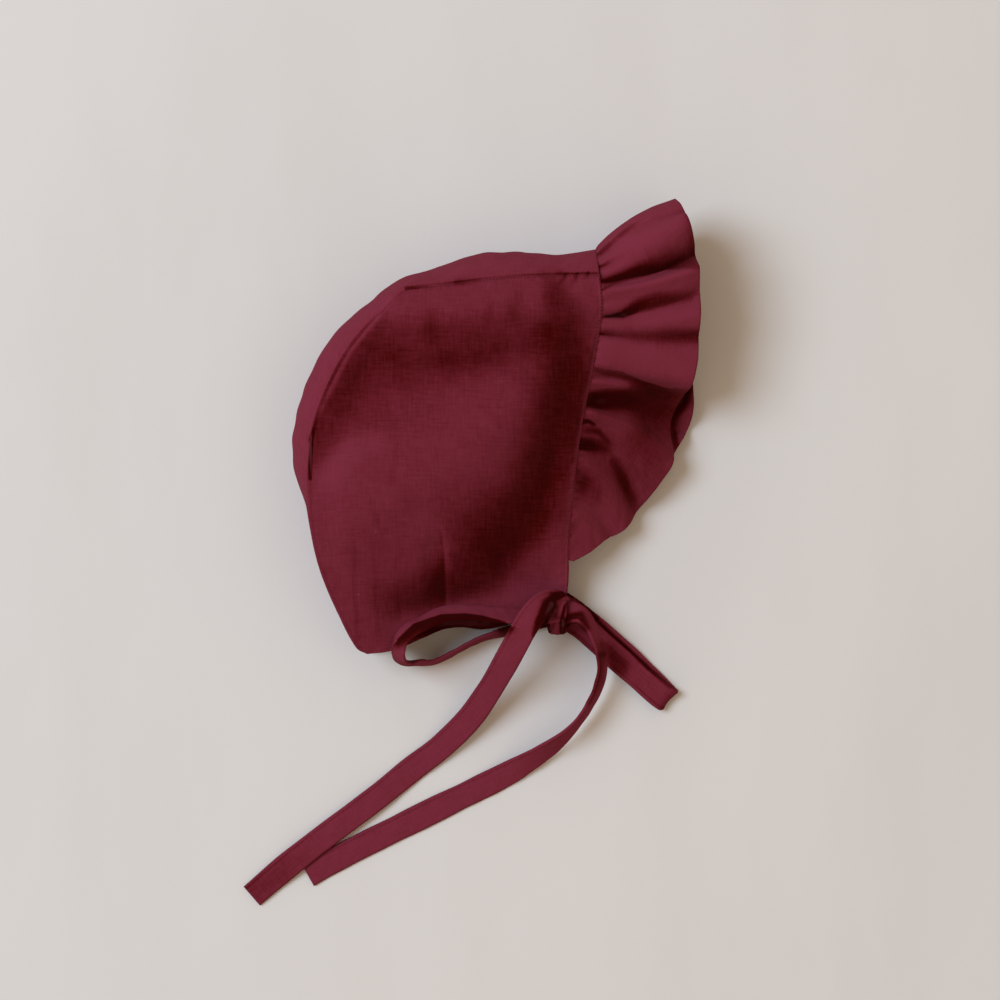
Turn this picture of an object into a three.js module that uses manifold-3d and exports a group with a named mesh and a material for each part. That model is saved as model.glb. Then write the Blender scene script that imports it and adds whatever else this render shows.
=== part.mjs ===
// A baby's sun bonnet of burgundy linen, lying on its side with its ties in a bow.
// Units are millimetres. +X points from the back of the head to the face, +Y from the neck to the crown,
// and +Z up from the surface that the bonnet lies on. The origin is on that surface, under a side panel.
import * as THREE from 'three';
import { mergeVertices } from 'three/addons/utils/BufferGeometryUtils.js';
import Module from 'manifold-3d';

const wasm = await Module();
wasm.setup();

// Driving dimensions
const CLOTH = 1.6;               // thickness of a bonnet wall, two layers of linen
const TIE_WIDTH = 11.5;          // width of a sewn tie
const TIE_THICK = 1.4;           // thickness of a sewn tie
const LOWER_SEAM_HEIGHT = 3.2;   // height of the lower side panel's seam above the surface
const DOME_LIFT = 15;            // how far the upper side panel swells above its own edges
const DOME_FORWARD = 0.78;       // below 1 moves the highest place of that swelling towards the face
const DOME_HIGH = 1.2;           // above 1 moves it towards the crown
const DOME_FULL = 0.85;          // below 1 makes the swelling fuller near the edges
const FOLD_EDGE = 0.13;          // share of the upper panel, from each edge, where the folds fade in
const FLAT_EDGE = 0.14;          // share of the lower panel that curves up to its edge
const SEAM_DROP = 1.5;           // how far below a side panel's edge the centre panel starts
const TUCK_DROP = 0.1;           // extra drop for each millimetre that the centre panel is tucked in
const BOW_FULL = 0.85;           // below 1 makes the centre panel's bulge rounder
const RUFFLE_START = 0.11;       // share of the front edge that stays bare above the chin
const RUFFLE_GAP = 1.0;          // distance from the front edge to the first row of the ruffle
const GATHER_COUNT = 31;         // small gathers along the ruffle's seam
const GATHER_LIFT = 0.9;         // height of those gathers
const GATHER_ROW = 0.14;         // share of the ruffle's width at which the gathers are highest
const GATHER_FADE = 0.16;        // share of the width over which they fade
const GATHER_DRIFT = { turns: 19, amount: 2 };       // makes the gathers' spacing uneven
const BELLY = { at: 0.475, lift: 8, spread: 0.05 };  // how the ruffle swells over the top of the head
const FLUTE_GROWTH = 1.2;        // above 1 keeps the flutes low near the seam
const RUFFLE_ENDS = 0.05;        // share of the ruffle, at each end, where flutes and gathers fade
const RUFFLE_ARCH = 0.45;        // share of the ruffle's reach over which it leaves its seam squarely
const KNOT_CLEARANCE = 0.35;     // space that each tie and panel keeps from the knot
const TIE_EDGE = 0.9;            // width of the thinner edge of a tie
const CURVE_STEP = 0.004;        // step along a curve, of 1 in all, that gives its direction

// Grid steps of each wall
const PANEL_STEPS = { across: 18, up: 18 };
const CENTRE_STEPS = { along: 38, across: 8 };
const RUFFLE_STEPS = 150;
const RUFFLE_ROWS = [0, 0.07, 0.16, 0.3, 0.5, 0.75, 1];

const linen = { colour: 0x7a2338, roughness: 0.88 };
const linenShade = { colour: 0x6d1d30, roughness: 0.9 };

// Seam between the upper side panel and the centre panel, from the front top to the nape.
// bulge is how far the centre panel stands out past this seam at half its height.
const CROWN_ROW = 5;
const SEAM = [
  { x: 61.0, y: 75.0, z: 49.0, bulge: 12.0 },
  { x: 44.0, y: 74.0, z: 50.5, bulge: 10.5 },
  { x: 26.5, y: 73.5, z: 52.0, bulge: 12.2 },
  { x: 9.5, y: 71.7, z: 53.0, bulge: 13.0 },
  { x: -8.0, y: 69.5, z: 53.5, bulge: 9.5 },
  { x: -22.8, y: 67.7, z: 54.0, bulge: 6.5 },
  { x: -33.5, y: 58.7, z: 54.0, bulge: 7.2 },
  { x: -45.6, y: 45.4, z: 53.0, bulge: 9.4 },
  { x: -55.2, y: 29.2, z: 51.5, bulge: 10.0 },
  { x: -62.5, y: 10.0, z: 49.5, bulge: 9.0 },
  { x: -64.8, y: -7.0, z: 46.5, bulge: 7.5 },
  { x: -65.3, y: -22.5, z: 43.0, bulge: 2.0 },
  { x: -64.1, y: -37.7, z: 39.0, bulge: -3.0 },
  { x: -60.3, y: -54.4, z: 34.0, bulge: -6.5 },
  { x: -53.2, y: -72.6, z: 27.0, bulge: -8.5 },
  { x: -45.6, y: -87.8, z: 21.0, bulge: -9.5 },
  { x: -40.8, y: -90.5, z: 19.5, bulge: -9.5 },
];

// Front edge of the upper side panel, from the chin to the front top
const FRONT_EDGE = [
  { x: 47.8, y: -64.0, z: 15.0 },
  { x: 48.3, y: -57.0, z: 17.5 },
  { x: 48.2, y: -46.0, z: 21.5 },
  { x: 48.7, y: -31.3, z: 27.0 },
  { x: 50.4, y: -13.8, z: 32.0 },
  { x: 52.8, y: 8.0, z: 37.5 },
  { x: 56.2, y: 26.1, z: 42.0 },
  { x: 59.5, y: 44.5, z: 45.5 },
  { x: 62.0, y: 61.6, z: 48.5 },
  { x: 61.0, y: 75.0, z: 49.0 },
];

// Neck edge of the upper side panel, from the chin to the nape
const NECK_EDGE = [
  { x: 47.8, y: -64.0, z: 15.0 },
  { x: 38.0, y: -70.5, z: 13.5 },
  { x: 24.7, y: -76.7, z: 12.5 },
  { x: 11.3, y: -79.8, z: 12.5 },
  { x: 1.1, y: -78.9, z: 12.5 },
  { x: -6.9, y: -79.8, z: 13.0 },
  { x: -15.3, y: -83.3, z: 14.0 },
  { x: -29.4, y: -89.0, z: 17.0 },
  { x: -40.8, y: -90.5, z: 19.5 },
];

// Soft folds of the upper side panel: a ridge or hollow along a line from start to end
const PANEL_FOLDS = [
  { fromX: -22, fromY: 57, toX: 44, toY: 61, lift: 1.8, spread: 6 },
  { fromX: -40, fromY: 30, toX: 26, toY: 39, lift: -2.4, spread: 10 },
  { fromX: -30, fromY: 50, toX: -58, toY: 2, lift: -1.8, spread: 7 },
  { fromX: -46, fromY: -34, toX: 26, toY: 14, lift: 3.2, spread: 16 },
  { fromX: 57, fromY: 42, toX: 45, toY: -6, lift: -4.6, spread: 10 },
  { fromX: 44, fromY: -8, toX: 20, toY: -52, lift: -4.6, spread: 11 },
  { fromX: -5.8, fromY: -46, toX: -5.4, toY: -76, lift: 1.4, spread: 4 },
  { fromX: -12, fromY: -44, toX: -11, toY: -76, lift: -1.6, spread: 5 },
  { fromX: -22, fromY: -76, toX: 38, toY: -62, lift: -3.0, spread: 10 },
];

// Hem of the ruffle. at is the share of the seam from the upper end, over the top, to the lower end.
const HEM = [
  { at: 0.0, x: 50.3, y: -49.8, z: 20.5 },
  { at: 0.03, x: 58.0, y: -45.6, z: 17.0 },
  { at: 0.068, x: 64.3, y: -40.7, z: 14.0 },
  { at: 0.107, x: 70.8, y: -37.2, z: 11.0 },
  { at: 0.153, x: 79.4, y: -31.2, z: 9.0 },
  { at: 0.186, x: 87.0, y: -22.0, z: 9.0 },
  { at: 0.222, x: 95.0, y: -4.2, z: 10.5 },
  { at: 0.25, x: 95.0, y: 11.0, z: 17.0 },
  { at: 0.28, x: 101.0, y: 26.0, z: 29.0 },
  { at: 0.315, x: 104.0, y: 38.0, z: 37.0 },
  { at: 0.342, x: 104.8, y: 49.3, z: 41.0 },
  { at: 0.37, x: 105.0, y: 66.0, z: 44.0 },
  { at: 0.4, x: 103.4, y: 83.0, z: 46.0 },
  { at: 0.43, x: 100.7, y: 96.0, z: 46.0 },
  { at: 0.465, x: 97.6, y: 104.5, z: 41.0 },
  { at: 0.5, x: 96.2, y: 108.0, z: 29.0 },
  { at: 0.54, x: 97.5, y: 106.0, z: 16.0 },
  { at: 0.585, x: 100.0, y: 96.0, z: 5.0 },
  { at: 0.63, x: 103.0, y: 78.0, z: 2.0 },
  { at: 0.68, x: 104.0, y: 58.0, z: 2.0 },
  { at: 0.73, x: 104.5, y: 36.0, z: 2.0 },
  { at: 0.78, x: 103.8, y: 14.0, z: 2.0 },
  { at: 0.83, x: 97.0, y: 0.0, z: 2.0 },
  { at: 0.87, x: 88.5, y: -14.5, z: 2.0 },
  { at: 0.91, x: 79.0, y: -26.0, z: 2.0 },
  { at: 0.95, x: 66.5, y: -38.0, z: 2.0 },
  { at: 1.0, x: 50.3, y: -49.8, z: 2.5 },
];

// Flutes of the ruffle: lift is outwards at the hem, before and after are the widths on its two sides.
const FLUTES = [
  { at: 0.085, lift: -1.5, before: 0.012, after: 0.012 },
  { at: 0.12, lift: 3.0, before: 0.02, after: 0.014 },
  { at: 0.16, lift: -4.5, before: 0.016, after: 0.016 },
  { at: 0.215, lift: 4.0, before: 0.026, after: 0.018 },
  { at: 0.262, lift: -7.5, before: 0.02, after: 0.012 },
  { at: 0.3, lift: 3.5, before: 0.012, after: 0.024 },
  { at: 0.343, lift: -3.5, before: 0.01, after: 0.008 },
  { at: 0.357, lift: 2.0, before: 0.008, after: 0.008 },
  { at: 0.373, lift: -4.5, before: 0.008, after: 0.008 },
  { at: 0.389, lift: 3.5, before: 0.009, after: 0.006 },
  { at: 0.406, lift: -8.5, before: 0.008, after: 0.011 },
  { at: 0.433, lift: 3.0, before: 0.012, after: 0.012 },
  { at: 0.458, lift: -2.5, before: 0.009, after: 0.009 },
  { at: 0.5, lift: 2.5, before: 0.014, after: 0.014 },
  { at: 0.545, lift: -4.0, before: 0.014, after: 0.014 },
  { at: 0.61, lift: -7.0, before: 0.014, after: 0.014 },
  { at: 0.665, lift: -9.0, before: 0.014, after: 0.014 },
  { at: 0.715, lift: -6.5, before: 0.012, after: 0.014 },
  { at: 0.765, lift: -8.0, before: 0.014, after: 0.012 },
  { at: 0.82, lift: -5.5, before: 0.014, after: 0.014 },
  { at: 0.87, lift: -4.5, before: 0.012, after: 0.012 },
  { at: 0.915, lift: -3.0, before: 0.012, after: 0.012 },
];

// The knot is a round bundle about the X direction, with a wrap round its middle.
const KNOT_CENTRE = new THREE.Vector3(43, -72.5, 11.2);
const KNOT_FLATTEN = 0.98;
const KNOT_PROFILE = [
  { x: -6.2, radius: 0 },
  { x: -5.6, radius: 5.2 },
  { x: -3.6, radius: 8.0 },
  { x: -3.0, radius: 9.2 },
  { x: 0.2, radius: 9.7 },
  { x: 2.8, radius: 9.1 },
  { x: 3.4, radius: 7.8 },
  { x: 5.4, radius: 5.0 },
  { x: 6.0, radius: 0 },
];

// Paths of the ties. lean turns the tie about its own length: 0 lies flat, 90 stands on its edge,
// and a positive lean lifts the edge that is on the left as the path is followed.
const LONG_TAIL = [
  { x: 44.5, y: -69.8, z: 16.0, lean: 0 },
  { x: 42.5, y: -67.8, z: 22.0, lean: 0 },
  { x: 38.2, y: -67.8, z: 27.2, lean: 0 },
  { x: 33.8, y: -71.2, z: 30.0, lean: 0 },
  { x: 29.4, y: -77.4, z: 30.4, lean: 0 },
  { x: 24.2, y: -87.2, z: 26.0, lean: 0 },
  { x: 18.2, y: -98.5, z: 19.0, lean: 0 },
  { x: 12.4, y: -108.5, z: 13.0, lean: 0 },
  { x: 4.2, y: -120.4, z: 7.2, lean: 0 },
  { x: -8.4, y: -133.2, z: 2.8, lean: 0 },
  { x: -21.4, y: -143.3, z: 1.2, lean: 0 },
  { x: -35.4, y: -154.6, z: 2.3, lean: 0 },
  { x: -48.9, y: -164.8, z: 2.8, lean: 0 },
  { x: -62.4, y: -174.8, z: 2.8, lean: 0 },
  { x: -71.4, y: -181.8, z: 2.8, lean: 0 },
  { x: -82.9, y: -191.3, z: 1.8, lean: 0 },
  { x: -93.6, y: -200.6, z: 0.9, lean: 0 },
];
const CURVED_TAIL = [
  { x: 44.0, y: -73.5, z: 14.0, lean: -20 },
  { x: 49.5, y: -72.4, z: 17.5, lean: -35 },
  { x: 53.8, y: -73.2, z: 19.0, lean: -50 },
  { x: 57.2, y: -76.8, z: 19.0, lean: -62 },
  { x: 60.2, y: -82.2, z: 17.8, lean: -68 },
  { x: 62.4, y: -89.0, z: 15.2, lean: -68 },
  { x: 63.5, y: -96.8, z: 12.8, lean: -68 },
  { x: 62.3, y: -104.3, z: 11.0, lean: -68 },
  { x: 58.9, y: -112.3, z: 10.4, lean: -70 },
  { x: 53.1, y: -121.3, z: 9.8, lean: -72 },
  { x: 44.1, y: -130.3, z: 8.2, lean: -56 },
  { x: 32.9, y: -138.4, z: 5.0, lean: -34 },
  { x: 21.0, y: -145.6, z: 2.0, lean: -12 },
  { x: 8.5, y: -152.0, z: 0.9, lean: 0 },
  { x: -9.5, y: -160.8, z: 0.9, lean: 0 },
  { x: -27.5, y: -169.7, z: 0.9, lean: 0 },
  { x: -45.5, y: -178.6, z: 0.9, lean: 0 },
  { x: -59.5, y: -186.0, z: 0.9, lean: 0 },
  { x: -68.5, y: -191.1, z: 0.9, lean: 0 },
];
const LEFT_LOOP = [
  { x: 42.5, y: -73.4, z: 17.0, lean: 57 },
  { x: 36.5, y: -73.8, z: 20.4, lean: 57 },
  { x: 30.5, y: -73.8, z: 21.8, lean: 55 },
  { x: 23.0, y: -73.4, z: 23.4, lean: 54 },
  { x: 14.0, y: -72.6, z: 24.6, lean: 56 },
  { x: 5.0, y: -71.8, z: 25.4, lean: 57 },
  { x: -3.7, y: -72.2, z: 25.8, lean: 57 },
  { x: -9.5, y: -73.6, z: 26.0, lean: 57 },
  { x: -15.2, y: -76.6, z: 26.0, lean: 57 },
  { x: -21.0, y: -79.6, z: 26.0, lean: 57 },
  { x: -25.0, y: -83.2, z: 26.2, lean: 58 },
  { x: -26.4, y: -87.8, z: 25.6, lean: 60 },
  { x: -26.0, y: -92.2, z: 21.4, lean: 62 },
  { x: -23.4, y: -95.4, z: 13.8, lean: 63 },
  { x: -18.2, y: -96.2, z: 8.4, lean: 62 },
  { x: -12.0, y: -96.0, z: 6.5, lean: 62 },
  { x: -6.2, y: -93.6, z: 6.3, lean: 62 },
  { x: 4.6, y: -88.0, z: 6.3, lean: 62 },
  { x: 12.2, y: -84.8, z: 6.5, lean: 62 },
  { x: 24.4, y: -81.0, z: 7.6, lean: 60 },
  { x: 38.0, y: -76.2, z: 9.6, lean: 55 },
];
// The right loop is folded flat: it runs out near the surface, turns up, and comes back on top of itself.
const RIGHT_LOOP_ACROSS = new THREE.Vector3(0.68, 0.73, 0);
const RIGHT_LOOP = [
  { x: 44.0, y: -68.0, z: 7.5, lean: 0 },
  { x: 53.8, y: -74.6, z: 3.6, lean: 4 },
  { x: 64.3, y: -83.0, z: 2.4, lean: 5 },
  { x: 74.8, y: -92.0, z: 1.9, lean: 4 },
  { x: 85.3, y: -101.6, z: 1.4, lean: 2 },
  { x: 92.4, y: -108.4, z: 1.1, lean: 0 },
  { x: 95.4, y: -111.4, z: 1.5, lean: 0 },
  { x: 96.6, y: -112.6, z: 3.0, lean: 0 },
  { x: 95.0, y: -112.2, z: 4.7, lean: 0 },
  { x: 91.2, y: -109.4, z: 5.1, lean: 0 },
  { x: 81.8, y: -101.6, z: 4.9, lean: -3 },
  { x: 71.8, y: -93.4, z: 5.2, lean: -5 },
  { x: 61.8, y: -85.0, z: 6.0, lean: -6 },
  { x: 53.3, y: -78.4, z: 7.6, lean: -4 },
  { x: 44.3, y: -73.4, z: 10.5, lean: 0 },
];

const clamp01 = (value) => Math.min(Math.max(value, 0), 1);
const toVector = (row) => new THREE.Vector3(row.x, row.y, row.z);

// A smooth curve through table rows, with a parameter from 0 to 1 that follows distance,
// or the rows' own at column where they have one. It returns one number for each named column.
function smoothRows(rows, columns) {
  const place = rows.map((row) => row.at ?? 0);
  if (rows[0].at === undefined) {
    for (let i = 1; i < rows.length; i += 1) {
      place[i] = place[i - 1] + toVector(rows[i]).distanceTo(toVector(rows[i - 1]));
    }
    const whole = place[place.length - 1];
    place.forEach((value, i) => { place[i] = value / whole; });
  }
  const slope = (i, column) => {
    const low = Math.max(i - 1, 0);
    const high = Math.min(i + 1, rows.length - 1);
    return (rows[high][column] - rows[low][column]) / (place[high] - place[low]);
  };
  return (t) => {
    let i = 0;
    while (i < rows.length - 2 && t > place[i + 1]) i += 1;
    const span = place[i + 1] - place[i];
    const u = (t - place[i]) / span;
    const result = {};
    for (const column of columns) {
      const a = rows[i][column];
      const b = rows[i + 1][column];
      const rise = u * u * (3 - 2 * u);
      const leave = u * (1 - u) * (1 - u) * span * slope(i, column);
      const arrive = u * u * (u - 1) * span * slope(i + 1, column);
      result[column] = a + (b - a) * rise + leave + arrive;
    }
    return result;
  };
}


// Direction of a smooth curve at a place on it
function direction(curve, t) {
  const after = toVector(curve(clamp01(t + CURVE_STEP)));
  return after.sub(toVector(curve(clamp01(t - CURVE_STEP)))).normalize();
}

const smoothStep = (value) => clamp01(value) ** 2 * (3 - 2 * clamp01(value));
const mix = (a, b, share) => a + (b - a) * share;

// Index triangles of a closed wall: an outer sheet, an inner sheet and the rims between them.
function wallGeometry(points, thickness) {
  const rows = points.length;
  const columns = points[0].length;
  const positions = [];
  const place = (i, j, layer) => (layer * rows + i) * columns + j;
  for (const sign of [0.5, -0.5]) {
    for (let i = 0; i < rows; i += 1) {
      for (let j = 0; j < columns; j += 1) {
        const along = points[Math.min(i + 1, rows - 1)][j].clone().sub(points[Math.max(i - 1, 0)][j]);
        const across = points[i][Math.min(j + 1, columns - 1)].clone().sub(points[i][Math.max(j - 1, 0)]);
        const normal = along.cross(across).normalize();
        const point = points[i][j].clone().addScaledVector(normal, sign * thickness);
        positions.push(point.x, point.y, point.z);
      }
    }
  }
  const faces = [];
  const quad = (a, b, c, d) => faces.push(a, b, c, a, c, d);
  for (let i = 0; i < rows - 1; i += 1) {
    for (let j = 0; j < columns - 1; j += 1) {
      quad(place(i, j, 0), place(i + 1, j, 0), place(i + 1, j + 1, 0), place(i, j + 1, 0));
      quad(place(i, j, 1), place(i, j + 1, 1), place(i + 1, j + 1, 1), place(i + 1, j, 1));
    }
  }
  for (let i = 0; i < rows - 1; i += 1) {
    quad(place(i, 0, 0), place(i, 0, 1), place(i + 1, 0, 1), place(i + 1, 0, 0));
    quad(place(i + 1, columns - 1, 0), place(i + 1, columns - 1, 1), place(i, columns - 1, 1),
      place(i, columns - 1, 0));
  }
  for (let j = 0; j < columns - 1; j += 1) {
    quad(place(0, j + 1, 0), place(0, j + 1, 1), place(0, j, 1), place(0, j, 0));
    quad(place(rows - 1, j, 0), place(rows - 1, j, 1), place(rows - 1, j + 1, 1), place(rows - 1, j + 1, 0));
  }
  return closedGeometry(positions, faces);
}

// A geometry whose faces all point outwards, from positions and index triangles
function closedGeometry(positions, faces) {
  let volume = 0;
  const corner = (index) => new THREE.Vector3().fromArray(positions, index * 3);
  for (let i = 0; i < faces.length; i += 3) {
    volume += corner(faces[i]).dot(corner(faces[i + 1]).cross(corner(faces[i + 2])));
  }
  if (volume < 0) {
    for (let i = 0; i < faces.length; i += 3) {
      [faces[i + 1], faces[i + 2]] = [faces[i + 2], faces[i + 1]];
    }
  }
  const geometry = new THREE.BufferGeometry();
  geometry.setAttribute('position', new THREE.Float32BufferAttribute(positions, 3));
  geometry.setIndex(faces);
  return geometry;
}

// Samples a surface function on a grid, with the given values of its two parameters
function sampleGrid(surface, firstValues, secondValues) {
  return firstValues.map((a) => secondValues.map((b) => surface(a, b)));
}

const evenValues = (steps, from = 0, to = 1) =>
  Array.from({ length: steps + 1 }, (unused, i) => mix(from, to, i / steps));

// The side panels

const seamRowsBack = SEAM.slice(CROWN_ROW).reverse();
const seamRowsTop = SEAM.slice(0, CROWN_ROW + 1);
const lowerHeight = (rows) => rows.map((row) => ({ ...row, z: LOWER_SEAM_HEIGHT }));

// The four edges of a side panel, each a curve with a parameter from 0 to 1
function panelEdges(lower) {
  const rows = lower ? lowerHeight : (list) => list;
  const curve = (list) => {
    const line = smoothRows(rows(list), ['x', 'y', 'z']);
    return (t) => toVector(line(t));
  };
  return {
    front: curve(FRONT_EDGE),
    neck: curve(NECK_EDGE),
    top: curve(seamRowsTop),
    back: curve(seamRowsBack),
  };
}

const upperEdges = panelEdges(false);
const lowerEdges = panelEdges(true);

// A patch stretched between four edges: across runs from front to back, up from neck to top
function panelPatch(edges, across, up) {
  const point = new THREE.Vector3();
  point.addScaledVector(edges.front(up), 1 - across);
  point.addScaledVector(edges.back(up), across);
  point.addScaledVector(edges.neck(across), 1 - up);
  point.addScaledVector(edges.top(across), up);
  point.addScaledVector(edges.front(0), -(1 - across) * (1 - up));
  point.addScaledVector(edges.back(0), -across * (1 - up));
  point.addScaledVector(edges.front(1), -(1 - across) * up);
  point.addScaledVector(edges.back(1), -across * up);
  return point;
}

// Height of one fold at a place in plan: a bell across the line, fading past its ends
function foldHeight(fold, x, y) {
  const lengthX = fold.toX - fold.fromX;
  const lengthY = fold.toY - fold.fromY;
  const reached = (x - fold.fromX) * lengthX + (y - fold.fromY) * lengthY;
  const share = clamp01(reached / (lengthX ** 2 + lengthY ** 2));
  const distance = Math.hypot(x - fold.fromX - share * lengthX, y - fold.fromY - share * lengthY);
  return fold.lift * Math.exp(-((distance / fold.spread) ** 2));
}

function upperPanelPoint(across, up) {
  const point = panelPatch(upperEdges, across, up);
  const inside = smoothStep(Math.min(across, 1 - across, up, 1 - up) / FOLD_EDGE);
  const dome = Math.sin(Math.PI * across ** DOME_FORWARD) * Math.sin(Math.PI * up ** DOME_HIGH);
  const folds = PANEL_FOLDS.reduce((sum, fold) => sum + foldHeight(fold, point.x, point.y), 0);
  point.z += DOME_LIFT * dome ** DOME_FULL + folds * inside;
  return point;
}

function lowerPanelPoint(across, up) {
  const point = panelPatch(lowerEdges, across, up);
  const inside = smoothStep(Math.min(across, 1 - across, up, 1 - up) / FLAT_EDGE);
  point.z = mix(point.z, CLOTH / 2, inside);
  return point;
}

// The centre panel, between the upper seam and the lower seam

const seamCurve = smoothRows(SEAM, ['x', 'y', 'z', 'bulge']);

// Outward direction of the seam in plan
function seamOutward(along) {
  const before = seamCurve(clamp01(along - CURVE_STEP));
  const after = seamCurve(clamp01(along + CURVE_STEP));
  return new THREE.Vector3(after.y - before.y, before.x - after.x, 0).normalize();
}

function centrePoint(along, across) {
  const row = seamCurve(along);
  const drop = SEAM_DROP + TUCK_DROP * Math.max(0, -row.bulge);
  const high = row.z - drop;
  const low = LOWER_SEAM_HEIGHT + drop;
  const bow = row.bulge * Math.sin(Math.PI * across) ** BOW_FULL;
  const point = new THREE.Vector3(row.x, row.y, mix(high, low, across));
  return point.addScaledVector(seamOutward(along), bow);
}

// The ruffle

// Its seam runs up the upper front edge, down the front of the centre panel, and back along the lower edge.
function ruffleSeamRows() {
  const rows = [];
  const frontPlaces = evenValues(12, RUFFLE_START, 0.97);
  frontPlaces.forEach((t) => rows.push(upperEdges.front(t)));
  evenValues(6, 0.12, 0.88).forEach((t) => rows.push(centrePoint(0, t)));
  frontPlaces.reverse().forEach((t) => rows.push(lowerEdges.front(t)));
  return rows;
}

const ruffleSeam = smoothRows(ruffleSeamRows(), ['x', 'y', 'z']);
const hemCurve = smoothRows(HEM, ['x', 'y', 'z']);

function fluteHeight(along) {
  return FLUTES.reduce((sum, flute) => {
    const width = along < flute.at ? flute.before : flute.after;
    return sum + flute.lift * Math.exp(-(((along - flute.at) / width) ** 2));
  }, 0);
}

function rufflePoint(along, outwards) {
  const seam = toVector(ruffleSeam(along));
  const tangent = direction(ruffleSeam, along);
  const hem = toVector(hemCurve(along));
  const reach = hem.clone().sub(seam);
  const out = reach.clone().addScaledVector(tangent, -reach.dot(tangent)).normalize();
  const lift = out.clone().cross(tangent).normalize();
  const start = seam.clone().addScaledVector(out, RUFFLE_GAP);
  const belly = BELLY.lift * Math.exp(-(((along - BELLY.at) / BELLY.spread) ** 2));
  const control = seam.clone().addScaledVector(out, RUFFLE_ARCH * reach.length());
  control.addScaledVector(lift, belly);
  const point = start.multiplyScalar((1 - outwards) ** 2);
  point.addScaledVector(control, 2 * outwards * (1 - outwards));
  point.addScaledVector(hem, outwards ** 2);
  const ends = smoothStep(Math.min(along, 1 - along) / RUFFLE_ENDS);
  const drift = GATHER_DRIFT.amount * Math.sin(GATHER_DRIFT.turns * along);
  const gathers = GATHER_LIFT * Math.sin(2 * Math.PI * GATHER_COUNT * along + drift);
  const nearSeam = Math.exp(-(((outwards - GATHER_ROW) / GATHER_FADE) ** 2));
  const rising = smoothStep(2 * outwards / GATHER_ROW);
  const flutes = fluteHeight(along) * outwards ** FLUTE_GROWTH;
  point.addScaledVector(lift, ends * (flutes + gathers * nearSeam * rising));
  point.z = Math.max(point.z, CLOTH / 2 + 0.1);
  return point;
}

// The knot and the ties

function knotGeometry(clearance) {
  const profile = KNOT_PROFILE.map((row) => {
    const radius = row.radius === 0 ? 0 : row.radius + clearance;
    return new THREE.Vector2(radius, row.x + Math.sign(row.x) * clearance);
  });
  const geometry = new THREE.LatheGeometry(profile, 20);
  geometry.rotateZ(-Math.PI / 2);
  geometry.scale(1, 1, KNOT_FLATTEN);
  geometry.translate(KNOT_CENTRE.x, KNOT_CENTRE.y, KNOT_CENTRE.z);
  return geometry;
}

// A flat tie along a path: a section of eight points, thinner at its two edges
function tieGeometry(rows, steps, fixedAcross) {
  const path = smoothRows(rows, ['x', 'y', 'z', 'lean']);
  const half = TIE_WIDTH / 2;
  const thick = TIE_THICK / 2;
  const section = [
    { side: -half, face: -thick * 0.5 },
    { side: -half + TIE_EDGE, face: -thick },
    { side: half - TIE_EDGE, face: -thick },
    { side: half, face: -thick * 0.5 },
    { side: half, face: thick * 0.5 },
    { side: half - TIE_EDGE, face: thick },
    { side: -half + TIE_EDGE, face: thick },
    { side: -half, face: thick * 0.5 },
  ];
  const up = new THREE.Vector3(0, 0, 1);
  const positions = [];
  for (const t of evenValues(steps)) {
    const row = path(t);
    const tangent = direction(path, t);
    const flat = fixedAcross ? fixedAcross.clone() : up.clone().cross(tangent);
    flat.addScaledVector(tangent, -flat.dot(tangent)).normalize();
    const side = flat.applyAxisAngle(tangent, THREE.MathUtils.degToRad(row.lean));
    const face = tangent.clone().cross(side);
    for (const corner of section) {
      const point = toVector(row).addScaledVector(side, corner.side).addScaledVector(face, corner.face);
      positions.push(point.x, point.y, point.z);
    }
  }
  const sides = section.length;
  const faces = [];
  for (let i = 0; i < steps; i += 1) {
    for (let j = 0; j < sides; j += 1) {
      const a = i * sides + j;
      const b = i * sides + (j + 1) % sides;
      faces.push(a, b, b + sides, a, b + sides, a + sides);
    }
  }
  for (let j = 1; j < sides - 1; j += 1) {
    const last = steps * sides;
    faces.push(0, j + 1, j, last, last + j, last + j + 1);
  }
  return closedGeometry(positions, faces);
}

// Joins and cuts

function toSolid(geometry) {
  const bare = geometry.clone();
  bare.deleteAttribute('normal');
  bare.deleteAttribute('uv');
  const merged = mergeVertices(bare, 1e-4);
  return new wasm.Manifold(new wasm.Mesh({
    numProp: 3,
    vertProperties: new Float32Array(merged.attributes.position.array),
    triVerts: new Uint32Array(merged.index.array),
  }));
}

function toGeometry(solid) {
  const mesh = solid.getMesh();
  const geometry = new THREE.BufferGeometry();
  geometry.setAttribute('position', new THREE.BufferAttribute(new Float32Array(mesh.vertProperties), 3));
  geometry.setIndex(new THREE.BufferAttribute(new Uint32Array(mesh.triVerts), 1));
  return geometry;
}

const knotRoom = toSolid(knotGeometry(KNOT_CLEARANCE));
const clearOfKnot = (geometry) => toGeometry(toSolid(geometry).subtract(knotRoom));

// Assembly

const bonnet = new THREE.Group();

function addPiece(name, geometry, finish) {
  const material = new THREE.MeshStandardMaterial({
    color: finish.colour,
    roughness: finish.roughness,
    metalness: 0,
    side: THREE.DoubleSide,
  });
  const mesh = new THREE.Mesh(geometry, material);
  mesh.name = name;
  bonnet.add(mesh);
}

const panelAcross = evenValues(PANEL_STEPS.across);
const panelUp = evenValues(PANEL_STEPS.up);
const upperPanel = wallGeometry(sampleGrid(upperPanelPoint, panelAcross, panelUp), CLOTH);
const lowerPanel = wallGeometry(sampleGrid(lowerPanelPoint, panelAcross, panelUp), CLOTH);
const centreGrid = sampleGrid(centrePoint, evenValues(CENTRE_STEPS.along), evenValues(CENTRE_STEPS.across));
const ruffleGrid = sampleGrid(rufflePoint, evenValues(RUFFLE_STEPS), RUFFLE_ROWS);

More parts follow.
